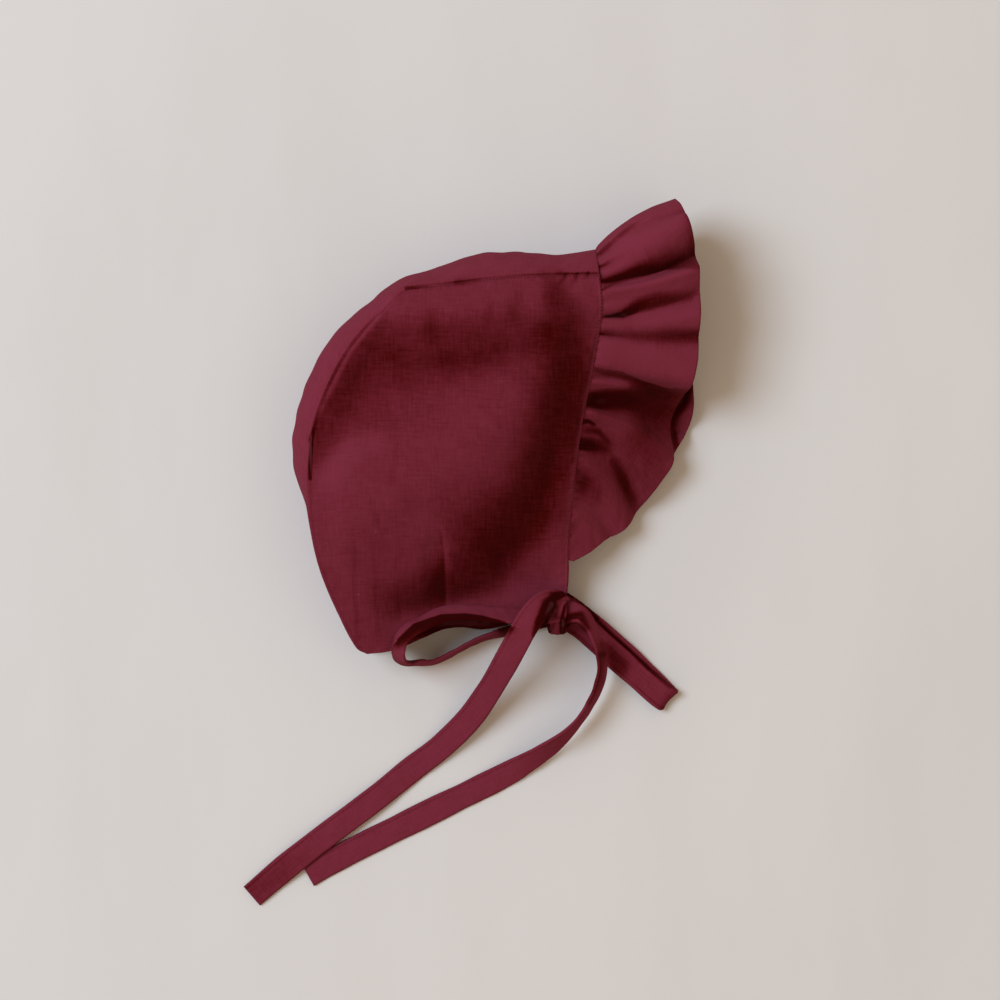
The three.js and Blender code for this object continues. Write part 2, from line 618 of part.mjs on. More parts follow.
addPiece('side_panel_upper', clearOfKnot(upperPanel), linen);
addPiece('side_panel_lower', clearOfKnot(lowerPanel), linen);
addPiece('centre_panel', wallGeometry(centreGrid, CLOTH), linenShade);
addPiece('brim_ruffle', wallGeometry(ruffleGrid, CLOTH), linen);
addPiece('bow_knot', toGeometry(toSolid(knotGeometry(0))), linenShade);
addPiece('bow_loop_left', clearOfKnot(tieGeometry(LEFT_LOOP, 36)), linen);
addPiece('bow_loop_right', clearOfKnot(tieGeometry(RIGHT_LOOP, 36, RIGHT_LOOP_ACROSS)), linen);
addPiece('tie_tail_long', clearOfKnot(tieGeometry(LONG_TAIL, 30)), linen);
addPiece('tie_tail_curved', clearOfKnot(tieGeometry(CURVED_TAIL, 34)), linen);

export default bonnet;
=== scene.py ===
"""A baby's burgundy linen sun bonnet, lying on its side on a pale floor with its ties in a bow."""
import logging
from dataclasses import dataclass
from enum import Enum
from typing import Mapping, Sequence

import bmesh
import bpy
import numpy as np
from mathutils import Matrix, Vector


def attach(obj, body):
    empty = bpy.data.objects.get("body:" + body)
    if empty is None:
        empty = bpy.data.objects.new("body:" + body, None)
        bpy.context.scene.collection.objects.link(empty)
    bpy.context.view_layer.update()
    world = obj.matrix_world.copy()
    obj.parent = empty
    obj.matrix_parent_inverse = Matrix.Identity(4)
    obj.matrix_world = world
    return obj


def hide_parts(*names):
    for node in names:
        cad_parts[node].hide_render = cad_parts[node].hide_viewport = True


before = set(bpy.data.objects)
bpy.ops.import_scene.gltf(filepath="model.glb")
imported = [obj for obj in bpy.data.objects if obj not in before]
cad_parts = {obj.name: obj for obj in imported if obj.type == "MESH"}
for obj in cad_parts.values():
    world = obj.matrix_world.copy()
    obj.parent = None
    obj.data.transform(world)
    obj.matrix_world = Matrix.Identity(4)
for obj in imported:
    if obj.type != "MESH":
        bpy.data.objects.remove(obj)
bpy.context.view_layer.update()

LOG = logging.getLogger("bonnet")
MM = 0.001
ROOT = "root"
# Place of the camera and size of a pixel on the floor, in mm, and the frame's middle pixel
CAMERA = (18.0, -22.5, 1200.0)
PIXEL = 0.45
MIDDLE = 500.0
TURN = 2.0 * np.pi
Rows = Sequence[Sequence[float]]


# Shape helpers


def clamp01(value: np.ndarray) -> np.ndarray:
    """Values held between 0 and 1."""
    return np.clip(value, 0.0, 1.0)


def smooth_step(value: np.ndarray) -> np.ndarray:
    """An S curve from 0 to 1: the square of the held value times three less twice itself."""
    held = clamp01(value)
    return held * held * (3.0 - 2.0 * held)


def bell(distance: np.ndarray, spread: np.ndarray | float) -> np.ndarray:
    """A bell curve: e to the power of minus the squared share of distance in spread."""
    return np.exp(-((distance / spread) ** 2))


def unit(vectors: np.ndarray) -> np.ndarray:
    """Vectors of length 1 along the last axis, each divided by its own length."""
    return vectors / np.maximum(np.linalg.norm(vectors, axis=-1, keepdims=True), 1e-12)


def graded(count: int, fine: float = 0.02) -> np.ndarray:
    """Values from 0 to 1 that lie close together near both ends, for rounded rims.

    Args:
        count: how many values.
        fine: share of the way, at each end, that takes a tenth of the values.

    Returns:
        The rising values: an even line bent so that each end is crowded.
    """
    ends = np.array([0.0, 0.1, 0.9, 1.0])
    places = np.array([0.0, fine, 1.0 - fine, 1.0])
    even = np.linspace(0.0, 1.0, count)
    return np.interp(even, ends, places)


class SmoothCurve:
    """A smooth curve through table rows.

    Between two rows each column is the cubic that has the rows' values and, at each row, the
    slope of the straight line between its two neighbours.
    """

    def __init__(self, rows: Rows, own_places: bool = False) -> None:
        """Takes the rows.

        Args:
            rows: one row for each point. With own_places the first column is the row's place
                from 0 to 1, and otherwise the first three are x, y and z.
            own_places: whether the rows give their own places along the curve.
        """
        data = np.asarray(rows, dtype=float)
        if own_places:
            self.place = data[:, 0]
            self.values = data[:, 1:]
        else:
            steps = np.linalg.norm(np.diff(data[:, :3], axis=0), axis=1)
            reached = np.concatenate([[0.0], np.cumsum(steps)])
            self.place = reached / reached[-1]
            self.values = data
        last = len(data) - 1
        low = np.maximum(np.arange(last + 1) - 1, 0)
        high = np.minimum(np.arange(last + 1) + 1, last)
        span = (self.place[high] - self.place[low])[:, None]
        self.slope = (self.values[high] - self.values[low]) / span

    def __call__(self, t: np.ndarray) -> np.ndarray:
        """The columns at each place t, on a new last axis."""
        t = np.asarray(t, dtype=float)
        i = np.clip(np.searchsorted(self.place, t) - 1, 0, len(self.place) - 2)
        span = (self.place[i + 1] - self.place[i])[..., None]
        u = (t - self.place[i])[..., None] / span
        a, b = self.values[i], self.values[i + 1]
        rise = u * u * (3.0 - 2.0 * u)
        leave = u * (1.0 - u) ** 2 * span * self.slope[i]
        arrive = u * u * (u - 1.0) * span * self.slope[i + 1]
        return a + (b - a) * rise + leave + arrive

    def direction(self, t: np.ndarray, step: float = 0.004) -> np.ndarray:
        """The unit direction of x, y and z at each place t, from points a step either side."""
        after = self(clamp01(t + step))[..., :3]
        return unit(after - self(clamp01(t - step))[..., :3])


def grid_normals(points: np.ndarray) -> np.ndarray:
    """Unit normals of a grid of points: the cross product of its two grid directions."""
    return unit(np.cross(np.gradient(points, axis=0), np.gradient(points, axis=1)))


def lengths_along(points: np.ndarray, axis: int) -> np.ndarray:
    """Distance from the first point of each grid line, added up step by step along an axis."""
    steps = np.linalg.norm(np.diff(points, axis=axis), axis=-1)
    pad = ((1, 0), (0, 0)) if axis == 0 else ((0, 0), (1, 0))
    return np.pad(np.cumsum(steps, axis=axis), pad)


def edge_distance(points: np.ndarray) -> np.ndarray:
    """Distance of each grid point, along its grid lines, from the nearest border."""
    down = lengths_along(points, 0)
    over = lengths_along(points, 1)
    nearest = np.minimum(down, down[-1:] - down)
    return np.minimum(nearest, np.minimum(over, over[:, -1:] - over))


@dataclass(frozen=True)
class Ripples:
    """Soft uneven waves of a cloth's face.

    height is about how high they stand, and size is their usual length, in mm. seed settles their
    directions and lengths, count is how many are added, and shortest is the least share of size.
    """

    height: float
    size: float
    seed: int
    count: int = 9
    shortest: float = 0.6

    def at(self, u: np.ndarray, v: np.ndarray) -> np.ndarray:
        """Their height at places u, v on the cloth, in mm: a sum of sines drawn from the seed."""
        chance = np.random.default_rng(self.seed)
        total = np.zeros_like(u)
        for angle, stretch, phase in chance.uniform(0.0, 1.0, (self.count, 3)):
            turn = TURN * angle
            pace = TURN / (self.size * (self.shortest + stretch))
            total += np.sin(pace * (u * np.cos(turn) + v * np.sin(turn)) + TURN * phase)
        return self.height * (total / np.sqrt(self.count))


@dataclass
class Cloth:
    """A closed wall of cloth round a grid of middle points, all in mm.

    points is the grid. thickness is the full wall, one number or one for each point. uv holds the
    cloth's own two lengths. painted_shading is the shade painted into the colour, from 0 on lit
    crests to 1 in shaded hollows, and a painted highlight below 0. rim is how far from the border
    the wall is rounded.
    """

    points: np.ndarray
    thickness: np.ndarray | float
    uv: np.ndarray
    painted_shading: np.ndarray | float = 0.0
    rim: float = 0.8

    def shell(self) -> tuple[np.ndarray, np.ndarray, np.ndarray, np.ndarray]:
        """The wall's vertices, faces, uv and painted shading.

        Returns:
            The outer sheet is each point plus half the thickness along the grid's normal, and the
            inner sheet the same the other way. Towards the border the half thickness follows a
            quarter circle down to nothing, so both sheets share the border's vertices.
        """
        rows, columns, _ = self.points.shape
        inward = clamp01(edge_distance(self.points) / self.rim)
        round_off = np.sqrt(np.maximum(1.0 - (1.0 - inward) ** 2, 0.0))
        half = (0.5 * self.thickness * round_off)[..., None]
        offset = half * grid_normals(self.points)
        border = np.ones((rows, columns), dtype=bool)
        border[1:-1, 1:-1] = False
        outer = np.arange(rows * columns).reshape(rows, columns)
        inner = outer.copy()
        inner[~border] = rows * columns + np.arange(np.count_nonzero(~border))
        painted_shading = np.broadcast_to(self.painted_shading, (rows, columns))
        inside = ~border
        vertices = np.concatenate([(self.points + offset).reshape(-1, 3), (self.points - offset)[inside]])
        uv = np.concatenate([self.uv.reshape(-1, 2), self.uv[inside]])
        tone = np.concatenate([painted_shading.reshape(-1), painted_shading[inside]])
        faces = np.concatenate([self.quads(outer), self.quads(inner)[:, ::-1]])
        corners = vertices[faces]
        turning = np.cross(corners[:, 2] - corners[:, 0], corners[:, 3] - corners[:, 1])
        if np.einsum("ij,ij->", corners.mean(axis=1), turning) < 0.0:
            faces = faces[:, ::-1]
        return vertices, faces, uv, tone

    def area(self) -> float:
        """Area of the middle sheet in square metres: half of each cell's crossed diagonals."""
        grid = self.points * MM
        crossed = np.cross(grid[1:, 1:] - grid[:-1, :-1], grid[:-1, 1:] - grid[1:, :-1])
        return float(0.5 * np.linalg.norm(crossed, axis=-1).sum())

    def line(self, inset: float, last: bool = False) -> tuple[np.ndarray, np.ndarray]:
        """A line on the outer face beside the grid's first or last column of lines.

        Args:
            inset: mm from the border.
            last: True beside the last line of the second direction, False beside the first line
                of the first direction.

        Returns:
            The line's points, and the normals there, which point upwards on the whole.
        """
        grid, normals = self.points, grid_normals(self.points)
        if last:
            grid, normals = grid[:, ::-1].swapaxes(0, 1), normals[:, ::-1].swapaxes(0, 1)
        if normals[..., 2].mean() < 0.0:
            normals = -normals
        index = int(np.argmin(np.abs(lengths_along(grid, 0).mean(axis=1) - inset)))
        return grid[index] + normals[index] * (0.5 * float(np.mean(self.thickness))), normals[index]

    @staticmethod
    def quads(index: np.ndarray) -> np.ndarray:
        """The four corners of each grid cell, in order round it."""
        corners = (index[:-1, :-1], index[1:, :-1], index[1:, 1:], index[:-1, 1:])
        return np.stack([corner.reshape(-1) for corner in corners], axis=1)

    def piece(self, name: str) -> bpy.types.Object:
        """Makes the wall's object, smooth, with its uv map and its attribute of painted shading."""
        return mesh_piece(name, *self.shell())


# The least and the greatest painted shading that a piece keeps: a painted highlight below 0, painted shade
# above
PAINTED_SHADING_RANGE = (-0.6, 1.2)


def mesh_piece(
    name: str,
    vertices: np.ndarray,
    faces: np.ndarray,
    uv: np.ndarray,
    painted_shading: np.ndarray,
) -> bpy.types.Object:
    """Puts quads into a new object.

    Args:
        name: the piece's name.
        vertices: points in mm.
        faces: four vertex numbers for each face.
        uv: two lengths in mm for each vertex.
        painted_shading: the shade painted into the colour at each vertex, a painted highlight below 0.

    Returns:
        The linked object, at the origin, with smooth faces.
    """
    mesh = bpy.data.meshes.new(name)
    mesh.vertices.add(len(vertices))
    mesh.vertices.foreach_set("co", (vertices * MM).astype(np.float32).ravel())
    mesh.loops.add(faces.size)
    mesh.loops.foreach_set("vertex_index", faces.astype(np.int32).ravel())
    mesh.polygons.add(len(faces))
    mesh.polygons.foreach_set("loop_start", np.arange(0, faces.size, 4, dtype=np.int32))
    mesh.update(calc_edges=True)
    mesh.polygons.foreach_set("use_smooth", np.ones(len(faces), dtype=bool))
    layer = mesh.uv_layers.new(name="cloth")
    layer.uv.foreach_set("vector", (uv[faces.ravel()] * MM).astype(np.float32).ravel())
    tone = mesh.attributes.new("painted_shading", "FLOAT", "POINT")
    tone.data.foreach_set("value", np.clip(painted_shading, *PAINTED_SHADING_RANGE).astype(np.float32))
    mesh.validate()
    piece = bpy.data.objects.new(name, mesh)
    bpy.context.scene.collection.objects.link(piece)
    return piece


# Finishes


class Wire:
    """A node's output that can be used in sums: each operator adds one Math node."""

    def __init__(self, bench: "Bench", socket: bpy.types.NodeSocket | None) -> None:
        """Keeps the bench that makes nodes and the output socket."""
        self.bench = bench
        self.socket = socket

    def _math(self, operation: str, *values: "Wire | float") -> "Wire":
        """Adds a Math node of that operation on the values."""
        return self.bench.add("ShaderNodeMath", {"operation": operation}, dict(enumerate(values)))

    def __add__(self, other: "Wire | float") -> "Wire":
        """Sum."""
        return self._math("ADD", self, other)

    def __sub__(self, other: "Wire | float") -> "Wire":
        """Difference."""
        return self._math("SUBTRACT", self, other)

    def __rsub__(self, other: float) -> "Wire":
        """Difference from a number."""
        return self._math("SUBTRACT", other, self)

    def __mul__(self, other: "Wire | float") -> "Wire":
        """Product."""
        return self._math("MULTIPLY", self, other)

    def sine(self) -> "Wire":
        """Sine."""
        return self._math("SINE", self)

    def held(self, low: float, high: float) -> "Wire":
        """How far the value is from low to high, held between 0 and 1."""
        settings = {"clamp": True, "interpolation_type": "SMOOTHSTEP"}
        inputs = {"Value": self, "From Min": low, "From Max": high}
        return self.bench.add("ShaderNodeMapRange", settings, inputs)


Value = Wire | float | Sequence[float]


class Bench:
    """Makes the nodes of one material."""

    def __init__(self, name: str) -> None:
        """Starts an empty material of that name."""
        self.material = bpy.data.materials.new(name)
        self.material.use_nodes = True
        self.tree = self.material.node_tree
        self.tree.nodes.clear()

    def add(
        self,
        kind: str,
        settings: Mapping[str, object] | None = None,
        inputs: Mapping[str | int, Value] | None = None,
        output: str | int = 0,
    ) -> Wire:
        """Adds a node.

        Args:
            kind: the node's type.
            settings: its properties, set first; stops holds a ramp's places and colours.
            inputs: a value or a wire for each named or numbered socket.
            output: the output socket that the returned wire holds.

        Returns:
            The wire from that output.
        """
        node = self.tree.nodes.new(kind)
        for name, value in (settings or {}).items():
            if name == "stops":
                self._set_stops(node, value)
            else:
                setattr(node, name, value)
        for name, value in (inputs or {}).items():
            if isinstance(value, Wire):
                self.tree.links.new(value.socket, node.inputs[name])
            else:
                node.inputs[name].default_value = value
        return Wire(self, node.outputs[output] if len(node.outputs) else None)

    @staticmethod
    def _set_stops(node: bpy.types.Node, stops: Sequence[tuple[float, Sequence[float]]]) -> None:
        """Gives a colour ramp its places and colours."""
        ramp = node.color_ramp.elements
        for place, colour in stops[1:-1]:
            ramp.new(place)
        for element, (place, colour) in zip(ramp, stops):
            element.position = place
            element.color = colour

    def mix(self, share: Value, first: Value, second: Value) -> Wire:
        """A colour between two: first where share is 0, second where it is 1."""
        return self.add("ShaderNodeMix", {"data_type": "RGBA"}, {0: share, 6: first, 7: second}, 2)

    def noise(self, place: Wire, scale: float, detail: float, rough: float) -> Wire:
        """Soft noise from 0 to 1."""
        inputs = {"Vector": place, "Scale": scale, "Detail": detail, "Roughness": rough}
        return self.add("ShaderNodeTexNoise", {"noise_dimensions": "3D"}, inputs)

    def finish(self, shader: Wire) -> bpy.types.Material:
        """Wires the shader to the material's output and gives the material."""
        self.add("ShaderNodeOutputMaterial", None, {"Surface": shader})
        return self.material


Colour = tuple[float, float, float, float]


def rgba(red: float, green: float, blue: float) -> Colour:
    """A full colour from three linear parts."""
    return (red, green, blue, 1.0)


@dataclass(frozen=True)
class LinenFinish:
    """Washed burgundy linen: plain weave with slubs, pale flecks, and painted shade in the hollows.

    tones are the colours from the lit crests to the painted shade of the hollows; the weave's own
    pattern also moves the colour along them. thread is the pitch of the weave, and both depths are
    heights of the relief, in metres. A pace says how fast a pattern changes across its threads, and a
    drift how fast along them, for each metre. A share says how much a pattern adds to the tone, and
    plain_depth is the tone of the plain cloth. A fleck shows where a slub's noise goes from the first
    to the second value of fleck_range.
    """

    name: str
    tones: tuple[tuple[float, Colour], ...] = (
        (0.0, rgba(0.198, 0.0262, 0.0490)),
        (0.5, rgba(0.116, 0.0096, 0.0160)),
        (0.85, rgba(0.0586, 0.0018, 0.0018)),
        (1.0, rgba(0.034, 0.0003, 0.0002)),
    )
    fleck_colour: Colour = rgba(0.42, 0.13, 0.17)
    sheen_colour: Colour = rgba(0.9, 0.55, 0.62)
    thread: float = 0.00062
    thread_drift: float = 75.0
    slub_pace: float = 900.0
    slub_drift: float = 150.0
    cloud_pace: float = 80.0
    crease_pace: float = 90.0
    thread_share: float = 0.55
    slub_share: float = 0.75
    cloud_share: float = 0.6
    pattern_share: float = 0.32
    fleck_range: tuple[float, float] = (0.60, 0.74)
    fleck_rare: float = 1.20
    fleck_sharp: float = 7.0
    fleck_share: float = 0.12
    weave_depth: float = 0.00006
    crease_depth: float = 0.0005
    plain_depth: float = 0.15

    def make(self) -> bpy.types.Material:
        """Builds the material.

        Returns:
            Thread by thread streaks run along both lengths of the cloth, broader clouds of dye
            lie over them, and the painted shading attribute draws the colour down the row of tones,
            from the lit crests' to the painted shade of the hollows'.
        """
        bench = Bench(self.name)
        cloth = bench.add("ShaderNodeTexCoord", output="UV")
        parts = {axis: bench.add("ShaderNodeSeparateXYZ", None, {0: cloth}, axis) for axis in "XY"}
        u, v = parts["X"], parts["Y"]
        warp = self._streaks(bench, u, v, 1.0 / self.thread, self.thread_drift)
        weft = self._streaks(bench, v, u, 1.0 / self.thread, self.thread_drift)
        slub = self._streaks(bench, u, v, self.slub_pace, self.slub_drift)
        slub_over = self._streaks(bench, v, u, self.slub_pace, self.slub_drift)
        clouds = bench.noise(cloth, self.cloud_pace, 4.0, 0.6)
        both = slub.held(*self.fleck_range) + slub_over.held(*self.fleck_range)
        fleck = (both - self.fleck_rare) * self.fleck_sharp
        # the painted shading: painted shade in hollows and under things, painted highlights below 0
        painted_shading = bench.add("ShaderNodeAttribute", {"attribute_name": "painted_shading"}, None, "Fac")
        slub_tone = (slub + slub_over - 1.0) * self.slub_share
        pattern = (warp + weft - 1.0) * self.thread_share + slub_tone + (clouds - 0.5) * self.cloud_share
        tone = (painted_shading + self.plain_depth - pattern * self.pattern_share).held(0.0, 1.0)
        base = bench.add("ShaderNodeValToRGB", {"stops": self.tones}, {"Fac": tone})
        pale = (fleck * self.fleck_share * (1.0 - painted_shading)).held(0.0, 1.0)
        flecked = bench.mix(pale, base, self.fleck_colour)
        over = (u * (np.pi / self.thread)).sine() * (v * (np.pi / self.thread)).sine()
        creases = bench.noise(cloth, self.crease_pace, 3.0, 0.55)
        weave = bench.add(
            "ShaderNodeBump",
            None,
            {
                "Strength": 0.55,
                "Distance": self.weave_depth,
                "Height": over * 0.5 + (warp + weft) * 1.2 + (slub + slub_over) * 1.5,
            },
        )
        wrinkled = bench.add(
            "ShaderNodeBump",
            None,
            {"Strength": 0.35, "Distance": self.crease_depth, "Height": creases, "Normal": weave},
        )
        shader = bench.add(
            "ShaderNodeBsdfPrincipled",
            None,
            {
                "Base Color": flecked,
                "Roughness": 0.9 - fleck * 0.05,
                "Specular IOR Level": 0.02,
                "Sheen Weight": 0.02,
                "Sheen Roughness": 0.6,
                "Sheen Tint": self.sheen_colour,
                "Normal": wrinkled,
            },
        )
        return bench.finish(shader)

    @staticmethod
    def _streaks(bench: Bench, across: Wire, along: Wire, pace: float, drift: float) -> Wire:
        """Uneven threads: noise that changes fast across the threads and slowly along them."""
        place = bench.add("ShaderNodeCombineXYZ", None, {0: across * pace, 1: along * drift})
        return bench.noise(place, 1.0, 2.0, 0.6)


@dataclass(frozen=True)
class ThreadFinish:
    """Two-ply sewing thread, a little darker and glossier than the linen.

    ply is the pitch of the twist, and relief how high each ply stands, in metres.
    """

    name: str = "sewing_thread"
    colour: Colour = rgba(0.120, 0.012, 0.022)
    # painted shade in the grooves between the plies
    shade: Colour = rgba(0.050, 0.003, 0.006)
    ply: float = 0.0004
    relief: float = 0.00005

    def make(self) -> bpy.types.Material:
        """Builds the material: slanting ply lines, paler on top of each ply as a painted highlight and
        darker between the plies as painted shade.
        """
        bench = Bench(self.name)
        cloth = bench.add("ShaderNodeTexCoord", output="UV")
        parts = {axis: bench.add("ShaderNodeSeparateXYZ", None, {0: cloth}, axis) for axis in "XY"}
        twist = ((parts["X"] + parts["Y"]) * (TURN / self.ply)).sine() * 0.5 + 0.5
        bump_inputs = {"Strength": 0.6, "Distance": self.relief, "Height": twist}
        bump = bench.add("ShaderNodeBump", None, bump_inputs)
        inputs = {
            "Base Color": bench.mix(twist, self.shade, self.colour),
            "Roughness": 0.75 - twist * 0.2,
            "Specular IOR Level": 0.12,
            "Normal": bump,
        }
        return bench.finish(bench.add("ShaderNodeBsdfPrincipled", None, inputs))


@dataclass(frozen=True)
class FloorFinish:
    """A pale warm grey painted board with faint brushed streaks."""

    name: str = "pale_floor"
    colour: Colour = rgba(0.74, 0.72, 0.72)
    streak: Colour = rgba(0.70, 0.675, 0.67)
    streak_pace: float = 14.0
    streak_stretch: tuple[float, float, float] = (1.0, 0.3, 1.0)
    streak_range: tuple[float, float] = (0.35, 0.75)
    streak_share: float = 0.6

    def make(self) -> bpy.types.Material:
        """Builds the material: two tones mixed by long soft noise, and a matt surface."""
        bench = Bench(self.name)
        place = bench.add("ShaderNodeTexCoord", output="Object")
        mapped = bench.add("ShaderNodeMapping", None, {0: place, "Scale": self.streak_stretch})
        soft = bench.noise(mapped, self.streak_pace, 3.0, 0.55)
        base = bench.mix(soft.held(*self.streak_range) * self.streak_share, self.colour, self.streak)
        inputs = {"Base Color": base, "Roughness": 0.85, "Specular IOR Level": 0.15}
        return bench.finish(bench.add("ShaderNodeBsdfPrincipled", None, inputs))


class Linen(Enum):
    """The linen of each kind of piece, by the record's slot."""

    PANEL = "panel_linen"
    CENTRE = "centre_linen"
    RUFFLE = "ruffle_linen"
    TIE = "tie_linen"
    THREAD = "thread"


@dataclass(frozen=True)
class Dresser:
    """Gives pieces their linen, and lets them ride on the bonnet."""

    finishes: Mapping[Linen, bpy.types.Material]

    @classmethod
    def stocked(cls) -> "Dresser":
        """A dresser with one finish for each linen."""
        finishes = {linen: LinenFinish(linen.value).make() for linen in Linen if linen is not Linen.THREAD}
        return cls(finishes | {Linen.THREAD: ThreadFinish().make()})

    def dress(self, piece: bpy.types.Object, linen: Linen, *nodes: str) -> bpy.types.Object:
        """Dresses a piece.

        Args:
            piece: the piece.
            linen: the cloth that it is made of.
            nodes: the plain solids that it stands for.

        Returns:
            The same piece.
        """
        piece.data.materials.append(self.finishes[linen])
        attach(piece, ROOT)
        if nodes:
            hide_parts(*nodes)
        LOG.info("%s: %d faces", piece.name, len(piece.data.polygons))
        return piece


@dataclass(frozen=True)
class Stitching:
    """A row of short stitches that lie on the cloth, each one a slender grain of thread.

    Sizes are in mm. ahead is how far on the line a stitch looks for its direction.
    """

    name: str
    pitch: float = 1.5
    length: float = 1.05
    radius: float = 0.20
    ahead: float = 0.3
    grain: tuple[int, int] = (6, 7)

    def build(self, dresser: Dresser, line: np.ndarray, normals: np.ndarray) -> bpy.types.Object:
        """Makes and dresses the row.

        Args:
            dresser: gives the thread its finish.
            line: points on the cloth's face, in mm.
            normals: the cloth's normals there.

        Returns:
            The piece. Stitches stand at even lengths along the line; each is an ellipsoid whose
            long axis follows the line, sunk into the cloth by half its radius.
        """
        run = np.concatenate([[0.0], np.cumsum(np.linalg.norm(np.diff(line, axis=0), axis=1))])
        places = np.arange(self.pitch, run[-1] - self.pitch, self.pitch)
        at, ahead = self._between(places, run, line), self._between(places + self.ahead, run, line)
        up, forward = unit(self._between(places, run, normals)), unit(ahead - at)
        side = unit(np.cross(up, forward))
        half_turn, full_turn = np.linspace(0.0, np.pi, self.grain[0]), np.linspace(0.0, TURN, self.grain[1])
        rise, turn = np.meshgrid(half_turn, full_turn, indexing="ij")
        lengthwise = -0.5 * self.length * np.cos(rise)
        sideways = self.radius * np.sin(rise) * np.cos(turn)
        upwards = self.radius * np.sin(rise) * np.sin(turn)
        parts = ((lengthwise, forward), (sideways, side), (upwards + 0.5 * self.radius, up))
        points = at[:, None, None, :] + sum(
            size[None, :, :, None] * axis[:, None, None, :] for size, axis in parts
        )
        count, each = len(places), rise.size
        quads = Cloth.quads(np.arange(each).reshape(rise.shape))
        faces = (quads[None] + np.arange(count)[:, None, None] * each).reshape(-1, 4)
        uv = np.stack([lengthwise, sideways], axis=-1)
        uv = np.broadcast_to(uv[None], (count, *uv.shape)).reshape(-1, 2)
        piece = mesh_piece(self.name, points.reshape(-1, 3), faces, uv, np.zeros(len(uv)))
        close_doubles(piece)
        return dresser.dress(piece, Linen.THREAD)

    @staticmethod
    def _between(places: np.ndarray, run: np.ndarray, values: np.ndarray) -> np.ndarray:
        """Values at places along a run, each column on a straight line between its neighbours."""
        return np.stack([np.interp(places, run, values[:, k]) for k in range(3)], axis=-1)


# Panels


# Seam between the upper side panel and the centre panel, from the front top to the nape:
# x, y, z, bulge in mm, where bulge is how far the centre panel stands out past the seam
SEAM: Rows = (
    (61.0, 75.0, 49.0, 12.0),
    (44.0, 74.0, 50.5, 10.5),
    (26.5, 73.5, 52.0, 12.2),
    (9.5, 71.7, 53.0, 13.0),
    (-8.0, 69.5, 53.5, 9.5),
    (-22.8, 67.7, 54.0, 6.5),
    (-33.5, 58.7, 54.0, 7.2),
    (-45.6, 45.4, 53.0, 9.4),
    (-55.2, 29.2, 51.5, 10.0),
    (-62.5, 10.0, 49.5, 9.0),
    (-64.8, -7.0, 46.5, 7.5),
    (-65.3, -22.5, 43.0, 2.0),
    (-64.1, -37.7, 39.0, -3.0),
    (-60.3, -54.4, 34.0, -6.5),
    (-53.2, -72.6, 27.0, -8.5),
    (-45.6, -87.8, 21.0, -9.5),
    (-40.8, -90.5, 19.5, -9.5),
)
CROWN_ROW = 5

# Front edge of the upper side panel, from the chin to the front top: x, y, z in mm
FRONT_EDGE: Rows = (
    (47.8, -64.0, 15.0),
    (48.3, -57.0, 17.5),
    (48.2, -46.0, 21.5),
    (48.7, -31.3, 27.0),
    (50.4, -13.8, 32.0),
    (52.8, 8.0, 37.5),
    (56.2, 26.1, 42.0),
    (59.5, 44.5, 45.5),
    (62.0, 61.6, 48.5),
    (61.0, 75.0, 49.0),
)

# Neck edge of the upper side panel, from the chin to the nape: x, y, z in mm
NECK_EDGE: Rows = (
    (47.8, -64.0, 15.0),
    (38.0, -70.5, 13.5),
    (24.7, -76.7, 12.5),
    (11.3, -79.8, 12.5),
    (1.1, -78.9, 12.5),
    (-6.9, -79.8, 13.0),
    (-15.3, -83.3, 14.0),
    (-29.4, -89.0, 17.0),
    (-40.8, -90.5, 19.5),
)

# Folds of the upper side panel: start x, y, end x, y, lift, width on the left of the line, width
# on its right, in mm. Wide ones come first, then the pressed pleat and the small creases.
PANEL_FOLDS: Rows = (
    (-22, 57, 44, 61, 1.8, 6, 6),
    (-40, 30, 26, 39, -2.4, 10, 10),
    (-30, 50, -58, 2, -1.8, 7, 7),
    (-46, -34, 26, 14, 3.2, 16, 16),
    (57, 42, 45, -6, -4.6, 10, 10),
    (44, -8, 20, -52, -4.6, 11, 11),
    (-5.8, -46, -5.4, -76, 1.4, 4, 4),
    (-12, -44, -11, -76, -1.6, 5, 5),
    (-22, -76, 38, -62, -3.0, 10, 10),
    (-6.2, -44, -6.0, -72, -1.1, 0.9, 6.0),
)
